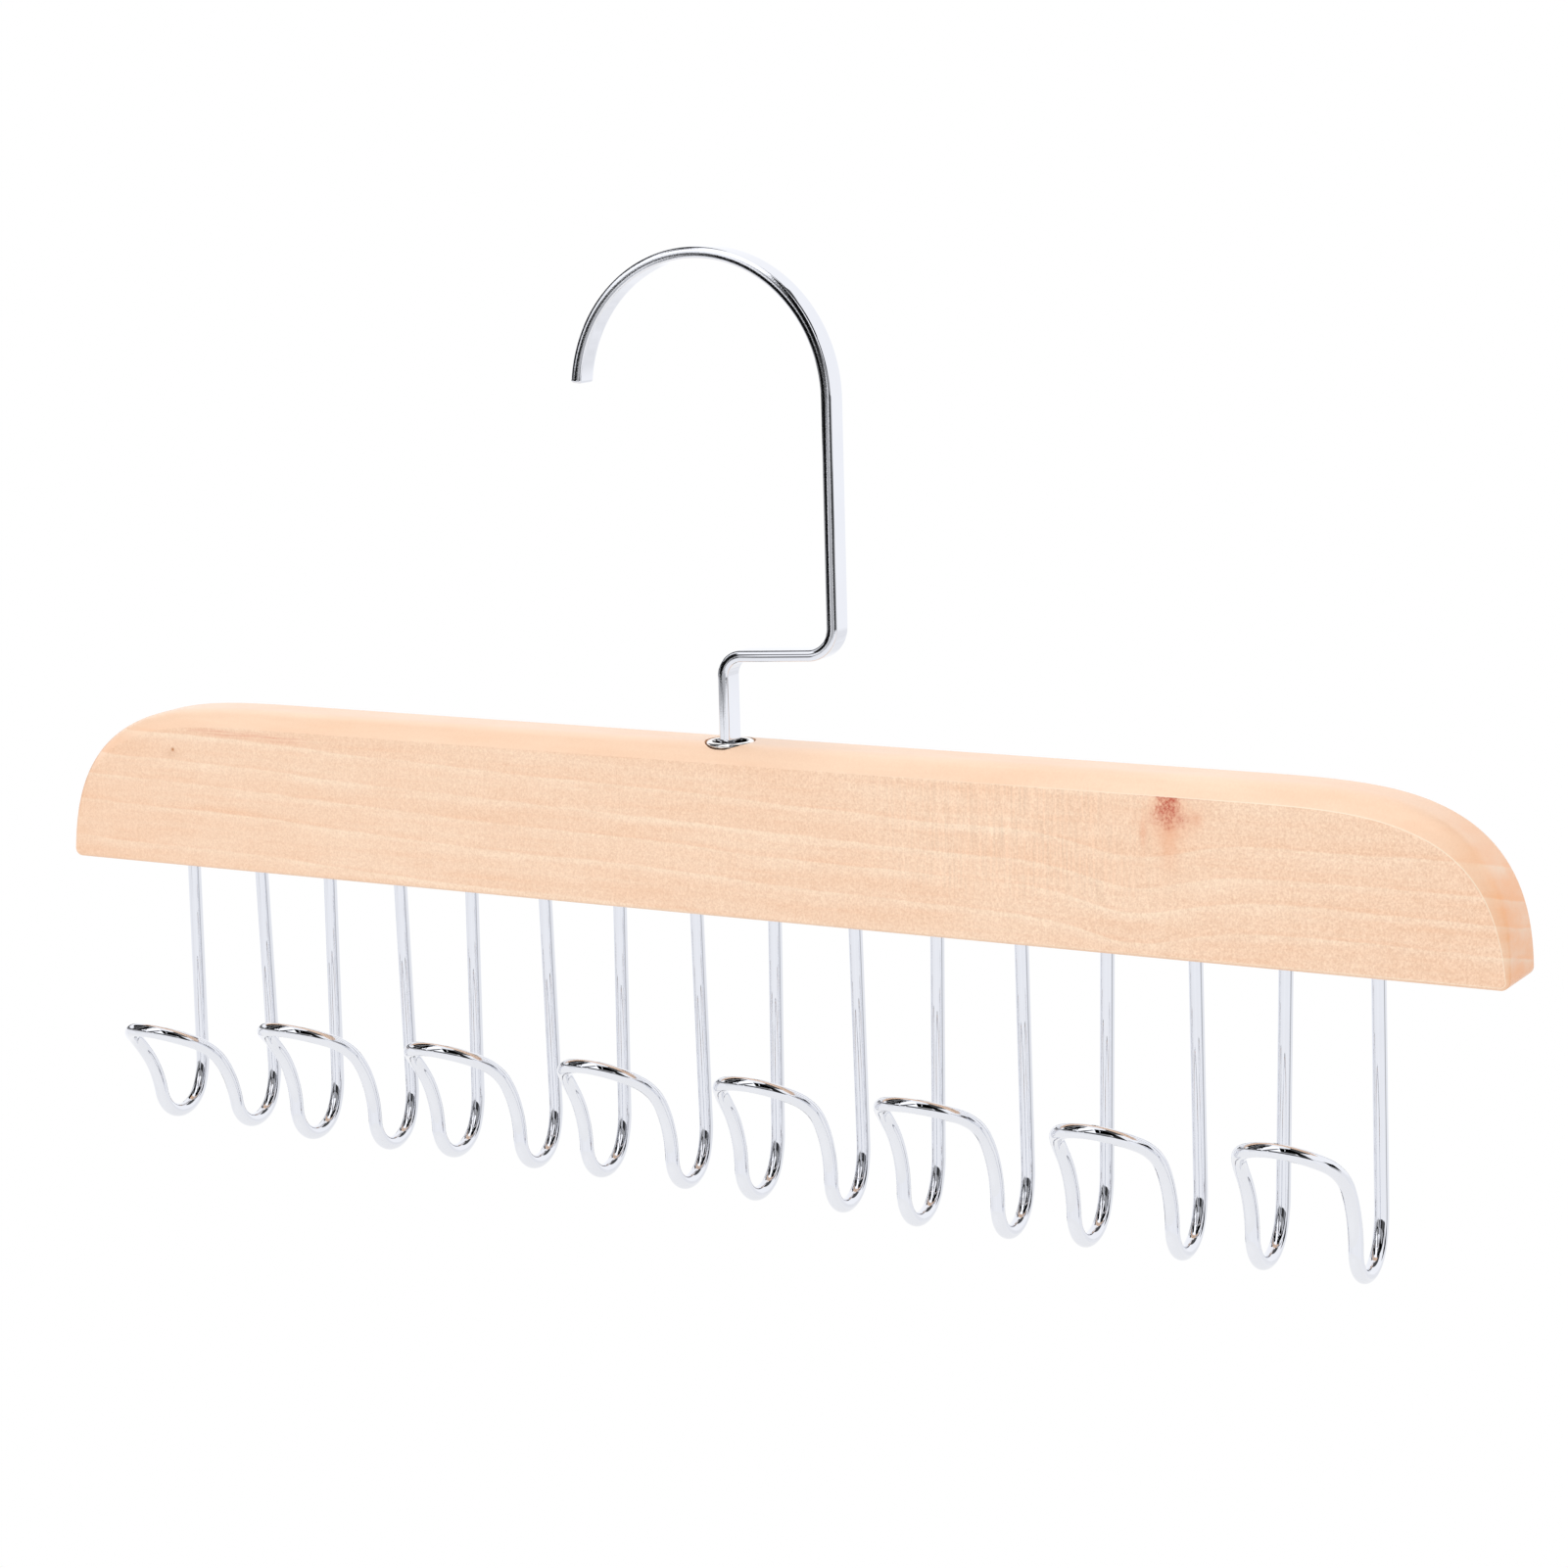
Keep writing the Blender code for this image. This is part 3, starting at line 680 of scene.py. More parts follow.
def turned(profile, sides, centre, closed):
    """A turned shape: rings of (radius, height), as a solid or as a closed ring-shaped wall."""
    shape = bmesh.new()
    turns = steps_to(sides, 2 * pi)[:-1]
    rings = []
    for radius, height in profile:
        circle = [Vector((radius * cos(turn), radius * sin(turn), height)) for turn in turns]
        rings.append(ring_of(shape, [centre + point for point in circle]))
    skin(shape, rings, closed)
    return shape


# Wooden bar
def edge_rings(bar, height):
    """(y, inset) of the bar's skin at a height, from the front face to the back."""
    fade = min(height / bar.fade_height, 1.0)
    sizes = (bar.ease_height, bar.ease_depth, bar.back_radius)
    ease_height, ease_depth, radius = [bar.foot_radius + (size - bar.foot_radius) * fade for size in sizes]
    half = bar.thickness / 2
    rings = [(-half, ease_height + 2 * bar.crease_radius), (-half, ease_height + bar.crease_radius)]
    front = steps_to(14)
    front.insert(1, front[1] / 4)
    for part in front:
        rings.append((-half + ease_depth * part, ease_height * (1 - part) ** bar.ease_power))
    for turn in steps_to(10, pi / 2):
        rings.append((half - radius * (1 - sin(turn)), radius * (1 - cos(turn))))
    return rings


def half_outline(bar):
    """Right half of the bar's front view, from the underside up to the top: place and normal."""
    half_length = bar.length / 2
    corner = Vector((half_length - bar.corner_radius, 0.0, bar.corner_radius))
    outline = []
    for turn in steps_to(9, pi / 2)[:-1]:
        normal = Vector((sin(turn), 0.0, -cos(turn)))
        outline.append((corner + normal * bar.corner_radius, normal))
    first = (bar.corner_radius / bar.height) ** (bar.power_up / 2)
    for turn in [first + step for step in steps_to(96, pi / 2 - first)[:-1]] + [pi / 2]:
        along = cos(turn) ** (2 / bar.power_along) if turn < pi / 2 else 0.0
        upward = sin(turn) ** (2 / bar.power_up)
        place = Vector((half_length - bar.shoulder_length * (1 - along), 0.0, bar.height * upward))
        slope_x = bar.power_along * along ** (bar.power_along - 1) / bar.shoulder_length
        slope_z = bar.power_up * upward ** (bar.power_up - 1) / bar.height
        outline.append((place, Vector((slope_x, 0.0, slope_z)).normalized()))
    return outline


def bar_skin(bar, foot):
    """The bar without its holes, and the places of its front crease."""
    shape = bmesh.new()
    right = half_outline(bar)
    flip = Matrix.Scale(-1, 3, (1, 0, 0))
    columns = []
    creases = []
    for place, normal in right + [(flip @ place, flip @ normal) for place, normal in reversed(right)]:
        column = [
            foot + place - normal * inset + Vector((0.0, y, 0.0)) for y, inset in edge_rings(bar, place.z)
        ]
        creases.append(column[2])
        columns.append(ring_of(shape, column))
    for column, after in zip(columns, columns[1:] + columns[:1]):
        for front in range(len(column) - 1):
            shape.faces.new((column[front], after[front], after[front + 1], column[front + 1]))
    shape.faces.new([column[0] for column in reversed(columns)])
    shape.faces.new([column[-1] for column in columns])
    return shape, creases


def leg_holes(bar, foot, past_wood):
    """Shape of the sixteen blind holes, which starts a little under the wood."""
    wires = bpy.context.scene.hanger_wires
    radius = wires.diameter / 2 + bar.hole_gap
    shape = bmesh.new()
    for middle in wire_middles():
        for side in (-1, 1):
            x = middle + side * wires.leg_spacing / 2
            place = Vector((x, 0.0, (bar.hole_depth - past_wood) / 2))
            bmesh.ops.create_cone(
                shape,
                cap_ends=True,
                segments=40,
                radius1=radius,
                radius2=radius,
                depth=bar.hole_depth + past_wood,
                matrix=Matrix.Translation(foot + place),
            )
    return shape


def swivel_bore(bar, foot, past_wood):
    """Shape of the stepped bore for the pin, its head and washer below and the eyelet above."""
    eyelet = bpy.context.scene.hanger_eyelet
    bore = bpy.context.scene.hanger_flat_hook.pin_diameter / 2 + bar.hole_gap
    counterbore = bore + eyelet.washer_rim + eyelet.counterbore_room
    counterbore_top = WASHER_HIGH.z + bar.hole_gap - foot.z
    barrel, seat = [radius + bar.hole_gap for radius in eyelet_radii()[1:]]
    seat_top = bar.height - eyelet.sunk
    barrel_foot = seat_top - eyelet.barrel_length - bar.hole_gap
    steps = (
        (counterbore, -past_wood),
        (counterbore, counterbore_top),
        (bore, counterbore_top),
        (bore, barrel_foot),
        (barrel, barrel_foot),
        (barrel, seat_top),
        (seat, seat_top),
        (seat, bar.height + past_wood),
    )
    return turned(steps, 72, foot, False)


def eyelet_radii():
    """Radii of the eyelet: its hole, its barrel and its flange."""
    strip = bpy.context.scene.hanger_flat_hook
    eyelet = bpy.context.scene.hanger_eyelet
    hole = max(hypot(strip.strip_width, strip.strip_thickness), strip.pin_diameter) / 2 + eyelet.play
    return hole, hole + eyelet.wall, hole + eyelet.wall + eyelet.overhang


def near(place):
    """A place to a hundredth of a millimetre, to find it again."""
    return tuple(round(part, 5) for part in place)


class HANGER_OT_wooden_bar(bpy.types.Operator):
    """Makes the wooden bar with its holes"""

    bl_idname = "hanger.wooden_bar"
    bl_label = "Wooden bar"

    def execute(self, context):
        bar = context.scene.hanger_bar
        foot = SWIVEL - Vector((0.0, 0.0, bar.height))
        shape, creases = bar_skin(bar, foot)
        blank = mesh_object("bar_blank", shape)
        past_wood = 0.004
        cutters = [
            mesh_object("leg_holes", leg_holes(bar, foot, past_wood)),
            mesh_object("swivel_bore", swivel_bore(bar, foot, past_wood)),
        ]
        for cutter in cutters:
            boolean = blank.modifiers.new(cutter.name, "BOOLEAN")
            boolean.operation = "DIFFERENCE"
            boolean.solver = "EXACT"
            boolean.object = cutter
        piece = plain_mesh(blank, "maple_bar")
        for cutter in cutters:
            bpy.data.objects.remove(cutter, do_unlink=True)
        shade(piece, 25.0)
        # The front crease's vertices carry the mask of the painted highlight along it
        highlight_places = {near(place) for place in creases}
        attribute = piece.data.attributes.new("crease", "FLOAT", "POINT")
        for index, vertex in enumerate(piece.data.vertices):
            attribute.data[index].value = float(near(vertex.co) in highlight_places)
        piece.modifiers.new("even_shading", "WEIGHTED_NORMAL").keep_sharp = True
        piece = plain_mesh(piece, "maple_bar")
        dress(piece, maple(), "bar", "wooden_bar")
        return {"FINISHED"}


# Flat swivel hook
def strip_section(strip):
    """One quarter of the strip's section, as (outward, sideways) points from flat face to narrow face."""
    half_thick = strip.strip_thickness / 2
    half_wide = strip.strip_width / 2
    corner = strip.corner_radius
    crown = strip.crown_radius
    flat_end = half_thick - corner
    sag = crown - (crown**2 - flat_end**2) ** 0.5
    tilt = flat_end / crown
    points = [(half_thick, 0.0), (half_thick, half_wide * 0.5)]
    for turn in steps_to(8, pi / 2 - tilt):
        points.append((flat_end + corner * cos(turn), half_wide - sag - corner + corner * sin(turn)))
    for out in steps_to(6, flat_end)[-2:0:-1]:
        points.append((out, half_wide - crown + (crown**2 - out**2) ** 0.5))
    return points


def whole_section(quarter, side=None):
    """A whole section from one quarter, once round; side is where it meets its middle line."""
    if side is None:
        side = quarter[-1][1] + (quarter[-1][1] - quarter[-2][1]) * 0.3
    points = quarter + [(0.0, side)] + [(-out, wide) for out, wide in reversed(quarter)]
    points += [(-out, -wide) for out, wide in quarter[1:]] + [(0.0, -side)]
    return points + [(out, -wide) for out, wide in reversed(quarter[1:])]


def rounded_corner(before, corner, after, radius, steps):
    """Points of an arc of the given radius that rounds one corner of a line."""
    inward = (before - corner).normalized()
    onward = (after - corner).normalized()
    opening = inward.angle(onward)
    centre = corner + (inward + onward).normalized() * radius / sin(opening / 2)
    reach = radius / tan(opening / 2)
    first = corner + inward * reach - centre
    last = corner + onward * reach - centre
    turn = first.angle(last)
    spokes = [(first * sin(turn - done) + last * sin(done)) / sin(turn) for done in steps_to(steps, turn)]
    return [centre + spoke for spoke in spokes]


def strip_route(strip):
    """Centre line of the strip in the XZ plane, from the tip over the arch to the bar."""
    radius = strip.seat_radius + strip.strip_thickness / 2
    centre = Vector((0.0, 0.0, -strip.seat_radius))
    joggle_z = -strip.seat_radius - strip.shank_drop
    turns = reversed(steps_to(120, pi - strip.tip_above_level))
    route = [centre + Vector((cos(turn), 0.0, sin(turn))) * radius for turn in turns]
    rise = (radius - SWIVEL.x) / 2 * tan(strip.joggle_slope)
    shank_foot = Vector((radius, 0.0, joggle_z + rise))
    stem_head = Vector((SWIVEL.x, 0.0, joggle_z - rise))
    route += rounded_corner(route[-1], shank_foot, stem_head, strip.upper_bend, 24)
    route += rounded_corner(shank_foot, stem_head, SWIVEL, strip.lower_bend, 24)
    return route + [SWIVEL.copy()]


def section_at(shape, place, heading, section):
    """One ring across the strip or the pin; heading is the direction it runs in."""
    outward = Vector((-heading.z, 0.0, heading.x))
    sideways = Vector((0.0, 1.0, 0.0))
    return ring_of(shape, [place + outward * out + sideways * side for out, side in section])


class HANGER_OT_flat_hook(bpy.types.Operator):
    """Makes the flat hook with its pin and swaged head"""

    bl_idname = "hanger.flat_hook"
    bl_label = "Flat swivel hook"

    def execute(self, context):
        strip = context.scene.hanger_flat_hook
        quarter = strip_section(strip)
        section = whole_section(quarter)
        route = strip_route(strip)
        shape = bmesh.new()
        rings = []
        heading = (route[1] - route[0]).normalized()
        for turn in steps_to(5, pi / 2):
            inset = strip.tip_rounding * (1 - sin(turn))
            place = route[0] + heading * strip.tip_rounding * (1 - cos(turn))
            shrink_out = 1 - inset / (strip.strip_thickness / 2)
            shrink_side = 1 - inset / (strip.strip_width / 2)
            smaller = [(out * shrink_out, side * shrink_side) for out, side in section]
            rings.append(section_at(shape, place, heading, smaller))
        for before, place, after in zip(route, route[1:], route[2:] + route[-1:]):
            rings.append(section_at(shape, place, (after - before).normalized(), section))

        # The round pin and its swaged head, with as many points round as the strip
        pin = strip.pin_diameter / 2
        head = pin + strip.head_rim
        edge = strip.head_edge
        head_top = HOOK_LOW.z + strip.head_thickness
        pin_top = SWIVEL.z - context.scene.hanger_eyelet.barrel_length
        steps = [(pin_top, pin), (head_top, pin), (head_top, head - edge / 2), (head_top - edge / 2, head)]
        for turn in steps_to(6, pi / 2):
            steps.append((HOOK_LOW.z + edge - edge * sin(turn), head - edge * (1 - cos(turn))))
        turns = [pi / 2 * index / len(quarter) for index in range(len(quarter))]
        for height, radius in steps:
            circle = whole_section([(radius * cos(turn), radius * sin(turn)) for turn in turns], radius)
            place = Vector((SWIVEL.x, 0.0, height))
            rings.append(section_at(shape, place, Vector((0.0, 0.0, -1.0)), circle))
        skin(shape, rings)
        material = chrome("chrome_strip", True)
        finish_piece("flat_hook", shape, material, "hook", "swivel_hook")
        return {"FINISHED"}


class HANGER_OT_eyelet(bpy.types.Operator):
    """Makes the domed eyelet on top of the bar"""

    bl_idname = "hanger.eyelet"
    bl_label = "Eyelet"

    def execute(self, context):
        eyelet = context.scene.hanger_eyelet
        gap = context.scene.hanger_bar.hole_gap
        hole, barrel, flange = eyelet_radii()
        foot = -eyelet.barrel_length
        profile = [(hole, foot), (barrel, foot), (barrel, gap), (flange - eyelet.edge_inset, gap)]
        half_lip = (flange - hole) / 2
        for turn in steps_to(24, pi):
            dome = eyelet.edge_share + (1 - eyelet.edge_share) * sin(turn) ** eyelet.dome_power
            profile.append((hole + half_lip + half_lip * cos(turn), gap + eyelet.height * dome))
        shape = turned(profile, 96, SWIVEL - Vector((0.0, 0.0, eyelet.sunk)), True)
        finish_piece("domed_eyelet", shape, nickel(), "bar", "top_eyelet")
        return {"FINISHED"}


class HANGER_OT_washer(bpy.types.Operator):
    """Makes the washer over the swaged head"""

    bl_idname = "hanger.washer"
    bl_label = "Thrust washer"

    def execute(self, context):
        scene = context.scene
        inner = scene.hanger_flat_hook.pin_diameter / 2 + scene.hanger_bar.hole_gap
        outer = inner + scene.hanger_eyelet.washer_rim
        thick = WASHER_HIGH.z - WASHER_LOW.z
        edge = thick / 5
        profile = (
            (inner + edge / 2, 0.0),
            (outer - edge, 0.0),
            (outer, edge),
            (outer, thick - edge / 2),
            (outer - edge / 2, thick),
            (inner + edge, thick),
            (inner, thick - edge),
            (inner, edge / 2),
        )
        shape = turned(profile, 72, Vector((SWIVEL.x, 0.0, WASHER_LOW.z)), True)
        finish_piece("zinc_washer", shape, zinc(), "hook", "thrust_washer")
        return {"FINISHED"}


# Wire hooks
def wire_middles():
    """Distance of each wire hook's middle from the middle of the bar."""
    wires = bpy.context.scene.hanger_wires
    gaps = len(WIRE_NODES) - 1
    pitch = (bpy.context.scene.hanger_bar.length - 2 * wires.end_margin - wires.leg_spacing) / gaps
    return [(index - gaps / 2) * pitch for index in range(gaps + 1)]


def wire_tree():
    """Bends a flat hairpin forward, bends its end outward, and gives it the wire's round section."""
    name = "bent_wire"
    if name in bpy.data.node_groups:
        return bpy.data.node_groups[name]
    sizes = ("Diameter", "Drop", "Ease radius", "Ease turn", "Bend radius", "Slack")
    sizes += ("Lean", "Lip radius", "Lip turn")
    inputs = {"Hairpin": "Geometry"} | dict.fromkeys(sizes, "Float")
    inputs |= {"Sides": "Int", "Foot": "Vector", "Finish": "Material"}
    sheet, given, result = new_tree(name, "GeometryNodeTree", inputs, {"Wire": "Geometry"})
    sheet.tree.is_modifier = True
    diameter, drop, ease_radius, ease_turn, bend_radius, slack, lean, lip_radius, lip_turn = [
        given[size] for size in sizes
    ]

    def through_bend(past, radius, turn):
        """How far a bend has turned, and the length of wire that is past it."""
        return (past / radius).at_most(turn), (past - radius * turn).at_least(0.0)

    x, along, _ = sheet.add("GeometryNodeInputPosition").split()
    ease, past = through_bend((along - drop).at_least(0.0), ease_radius, ease_turn)
    bend, past = through_bend(past, bend_radius, pi - lean - ease_turn)
    bend = ease_turn + bend
    rise = past.at_most(slack)
    lip, rest = through_bend((past - slack).at_least(0.0), lip_radius, lip_turn)
    heading = lean + lip
    y = ease_radius * (ease.cosine() - 1.0) + bend_radius * (bend.cosine() - ease_turn.cosine())
    y = y - rise * lean.sine() - lip_radius * (lean.cosine() - heading.cosine()) - rest * heading.sine()
    z = -along.at_most(drop) - ease_radius * ease.sine() - bend_radius * (bend.sine() - ease_turn.sine())
    z = z + rise * lean.cosine() + lip_radius * (heading.sine() - lean.sine()) + rest * heading.cosine()

    position = {"Geometry": given["Hairpin"], "Position": sheet.join(x, y, z), "Offset": given["Foot"]}
    bent = sheet.add("GeometryNodeSetPosition", position)
    circle = {"Resolution": given["Sides"], "Radius": diameter * 0.5}
    profile = sheet.add("GeometryNodeCurvePrimitiveCircle", circle, mode="RADIUS")
    swept = {"Curve": bent, "Profile Curve": profile, "Fill Caps": True}
    wire = sheet.add("GeometryNodeCurveToMesh", swept)
    wire = sheet.add("GeometryNodeSetShadeSmooth", {"Geometry": wire})
    wire = sheet.add("GeometryNodeRealizeInstances", {"Geometry": wire})
    wire = sheet.add("GeometryNodeSetMaterial", {"Geometry": wire, "Material": given["Finish"]})
    sheet.feed(result, {"Wire": wire})
    return sheet.tree


def eased_bend(wires, drop, lean):
    """Start, inner radius and slack of a bend with a gentle start, as wide and as low as a plain one."""
    outer, turn = wires.ease_radius, wires.ease_turn
    inner = (wires.bend_radius * (1 + cos(lean)) - outer * (1 - cos(turn))) / (cos(turn) + cos(lean))
    start = drop + wires.bend_radius - outer * sin(turn) - inner * (1 - sin(turn))
    slack = (wires.bend_radius - inner) * (1 - sin(lean)) / cos(lean)
    return start, inner, slack


def hairpin(wires, embedded, start, bend_end, round_start):
    """The wire laid flat: two legs that spread a little and a rounded end, as a curve in the XY plane."""

    def half_width(along):
        spread = (wires.loop_width - wires.leg_spacing) / 2
        return wires.leg_spacing / 2 + spread * min(max(along / bend_end, 0.0), 1.0)

    places = steps_to(8, start)
    places += [start + step for step in steps_to(44, bend_end - start)[1:]]
    places += [bend_end + step for step in steps_to(14, round_start - bend_end)[1:-1]]
    flat = [(wires.leg_spacing / 2, -embedded)] + [(half_width(along), along) for along in places]
    flat += [
        (half_width(round_start) * cos(turn), round_start + wires.end_depth * sin(turn))
        for turn in steps_to(32, pi / 2)[:-1]
    ]
    flat += [(0.0, round_start + wires.end_depth)] + [(-across, along) for across, along in reversed(flat)]
    curve = bpy.data.curves.new("hairpin", "CURVE")
    curve.dimensions = "3D"
    spline = curve.splines.new("POLY")
    spline.points.add(len(flat) - 1)
    for point, (across, along) in zip(spline.points, flat):
        point.co = (across, along, 0.0, 1.0)
    return new_object("hairpin", curve)


class HANGER_OT_wire_hooks(bpy.types.Operator):
    """Makes the eight bent wire hooks"""

    bl_idname = "hanger.wire_hooks"
    bl_label = "Wire hooks"

    def execute(self, context):
        bar = context.scene.hanger_bar
        wires = context.scene.hanger_wires
        finish = chrome("chrome_wire", False)
        tree = wire_tree()
        items = [item for item in tree.interface.items_tree if item.in_out == "INPUT"]
        sockets = {item.name: item.identifier for item in items}
        for index, (node, middle) in enumerate(zip(WIRE_NODES, wire_middles())):
            lean = wires.lean + radians(wires.leans[index])
            lip_turn = wires.lip_turn + radians(wires.lips[index])
            start, inner, slack = eased_bend(wires, wires.leg_drop * (1 + wires.drops[index]), lean)
            bend = wires.ease_radius * wires.ease_turn + inner * (pi - lean - wires.ease_turn)
            bend_end = start + bend + slack
            round_start = bend_end + wires.lip_radius * lip_turn + wires.lip_straight - wires.end_depth
            flat = hairpin(wires, bar.hole_depth - bar.hole_gap, start, bend_end, round_start)
            modifier = flat.modifiers.new("bend", "NODES")
            modifier.node_group = tree
            inputs = {
                "Diameter": wires.diameter,
                "Drop": start,
                "Ease radius": wires.ease_radius,
                "Ease turn": wires.ease_turn,
                "Bend radius": inner,
                "Slack": slack,
                "Lean": lean,
                "Lip radius": wires.lip_radius,
                "Lip turn": lip_turn,
                "Sides": wires.sides,
                "Foot": (SWIVEL.x + middle, SWIVEL.y, SWIVEL.z - bar.height),
                "Finish": finish,
            }
            for label, value in inputs.items():
                modifier[sockets[label]] = value
            piece = plain_mesh(flat, f"wire_hook_{index + 1}")
            dress(piece, None, "bar", node)
        return {"FINISHED"}


# Stage
def make_camera(stage):
    """The camera at the photograph's place."""
    azimuth, elevation, roll = stage.camera_azimuth, stage.camera_elevation, stage.camera_roll
    forward = Vector((-sin(azimuth) * cos(elevation), cos(azimuth) * cos(elevation), -sin(elevation)))
    level = Vector((cos(azimuth), sin(azimuth), 0.0))
    down = forward.cross(level)
    right = cos(roll) * level + sin(roll) * down
    up = sin(roll) * level - cos(roll) * down
    data = bpy.data.cameras.new("camera")
    data.sensor_width = 36.0
    data.lens = stage.lens
    data.clip_start = 0.01
    data.clip_end = 50.0
    camera = new_object("camera", data)
    turn = Matrix((right, up, -forward)).transposed().to_4x4()
    camera.matrix_world = Matrix.Translation(stage.camera_place) @ turn
    bpy.context.scene.camera = camera


def seen_directly(sheet):
    """1 for rays that show the backdrop: straight to the camera, mirrored or let through."""
    rays = sheet.node("ShaderNodeLightPath").outputs
    straight, mirrored, through = [
        Value(sheet, rays[f"Is {kind} Ray"]) for kind in ("Camera", "Glossy", "Transmission")
    ]
    return (straight + mirrored + through).rise(0.0, 1.0)


def make_world(stage):
    """Even light from all sides, white where the camera sees it."""
    world = bpy.data.worlds.new("soft_studio")
    world.use_nodes = True
    world.node_tree.nodes.clear()
    bpy.context.scene.world = world
    sheet = NodeSheet(world.node_tree)
    light = sheet.add("ShaderNodeBackground", {"Color": WHITE, "Strength": stage.world_level})
    white = sheet.add("ShaderNodeBackground", {"Color": WHITE, "Strength": 1.0})
    mix = sheet.add("ShaderNodeMixShader", {0: seen_directly(sheet), 1: light, 2: white})
    sheet.node("ShaderNodeOutputWorld", {"Surface": mix})


def bare_material(name):
    """A material with no shader yet, its sheet and object coordinates in metres."""
    material = bpy.data.materials.new(name)
    material.use_nodes = True
    material.node_tree.nodes.clear()
    sheet = NodeSheet(material.node_tree)
    return material, sheet, sheet.add("ShaderNodeTexCoord", output="Object").split()


def stage_mesh(name, shape, material):
    """A mesh that isn't part of the hanger."""
    thing = mesh_object(name, shape)
    thing.data.materials.append(material)
    return thing


def make_floor(stage):
    """A wide pale floor that keeps the hanger's soft shadow and shows plain white further out."""
    material, sheet, (x, y, _) = bare_material("pale_floor")
    seen = seen_directly(sheet)
    mirrored = sheet.add("ShaderNodeLightPath", output="Is Glossy Ray")
    lifted = seen * stage.floor_lift - mirrored * (stage.floor_lift * 0.5)
    cloth = sheet.add("ShaderNodeBsdfDiffuse", {"Color": stage.floor_color})
    lift = sheet.add("ShaderNodeEmission", {"Color": WHITE, "Strength": lifted})
    near_part = sheet.add("ShaderNodeAddShader", {0: cloth, 1: lift})
    white = sheet.add("ShaderNodeEmission", {"Color": WHITE, "Strength": 1.0})
    far = seen * away(x, y).ease(0.40, 0.75)
    both = sheet.add("ShaderNodeMixShader", {0: far, 1: near_part, 2: white})
    sheet.node("ShaderNodeOutputMaterial", {"Surface": both})
    shape = bmesh.new()
    lowered = Matrix.Translation((0.0, 0.0, stage.floor_height))
    bmesh.ops.create_grid(shape, x_segments=2, y_segments=2, size=8.0, matrix=lowered)
    stage_mesh("floor", shape, material)


# Brightness of the tent's cloth low down, by azimuth in degrees from the front towards +X
SEAMS = (
    (-180, 0.97), (-158, 0.99), (-146, 1.32), (-122, 1.32), (-113, 0.95), (-104, 1.30), (-80, 1.28),
    (-68, 0.88), (-56, 0.93), (-40, 1.00), (0, 1.02), (62, 1.00), (76, 1.10), (94, 1.04), (112, 0.95),
    (135, 0.92), (180, 0.97),
)


def tent_panels(stage):
    """The softbox and the panels: two azimuths, two elevations, lean of the sides and brightness."""
    window, dark = stage.window_level, stage.dark_level
    return (
        (-44, 22, 5, 82, 0, window),
        (-26, 54, -4, 5, 0, 0.35),
        (22, 54, 5, 10, 0, 0.25),
        (-34, -26, -4, 5, 0, 1.2),
        (-122, -80, 40, 76, 0, dark),
        (-113, -82, 9, 62, 0, dark),
        (-82, -62, -4, 62, 0, dark),
        (-64, -35, 25, 68, 0, 0),
        (-62, -38.5, 9, 26, 0, 0),
        (-36, -31.5, 10, 25, 0, 0),
        (-62, -44.5, -4.7, 9, 0, dark),
        (-39.5, -31, -6, -1, 0, dark),
        (-64, -24, -8.5, -4.7, 0, 0.05),
        (-130, -64, -8.5, -4.7, 0, dark),
        (-26.5, -14, -4, 52, 0.66, dark),
        (-25.5, -14, -7, -3.5, 0, 0.05),
        (-130, -45, -14, -8.5, 0, 0.30),
        (-75, -12, -17.5, -14.5, 0, 0.50),
        (-45, -29.4, -15, -4.9, 0, dark),
        (-26, -11, -15, -7.5, 0, 0.50),
        (-29.5, -26.5, -20, -15, 0, 0.10),
        (-9.5, 47, -15.5, -4, 0, 0.04),
        (47, 62, -15, -4, 0, 0.15),
        (62, 98, -11, -8.5, 0, 0.45),
        (57, 77, -16, 13, 0, 0.03),
        (22, 78, 9, 68, 0, 0),
        (78, 174, 30, 66, 0, 0.08),
        (99, 120, -19, -4, 0, 0),
        (98, 112, -27, -19, 0, 0.50),
        (-82.5, -80.5, 10, 70, 0.1, 1),
        (-73, -71, 34, 73, 0, 1),
        (-69, -67.5, 2, 34, 0.5, 1),
        (33, 35, 24, 62, 0.3, 1),
    )


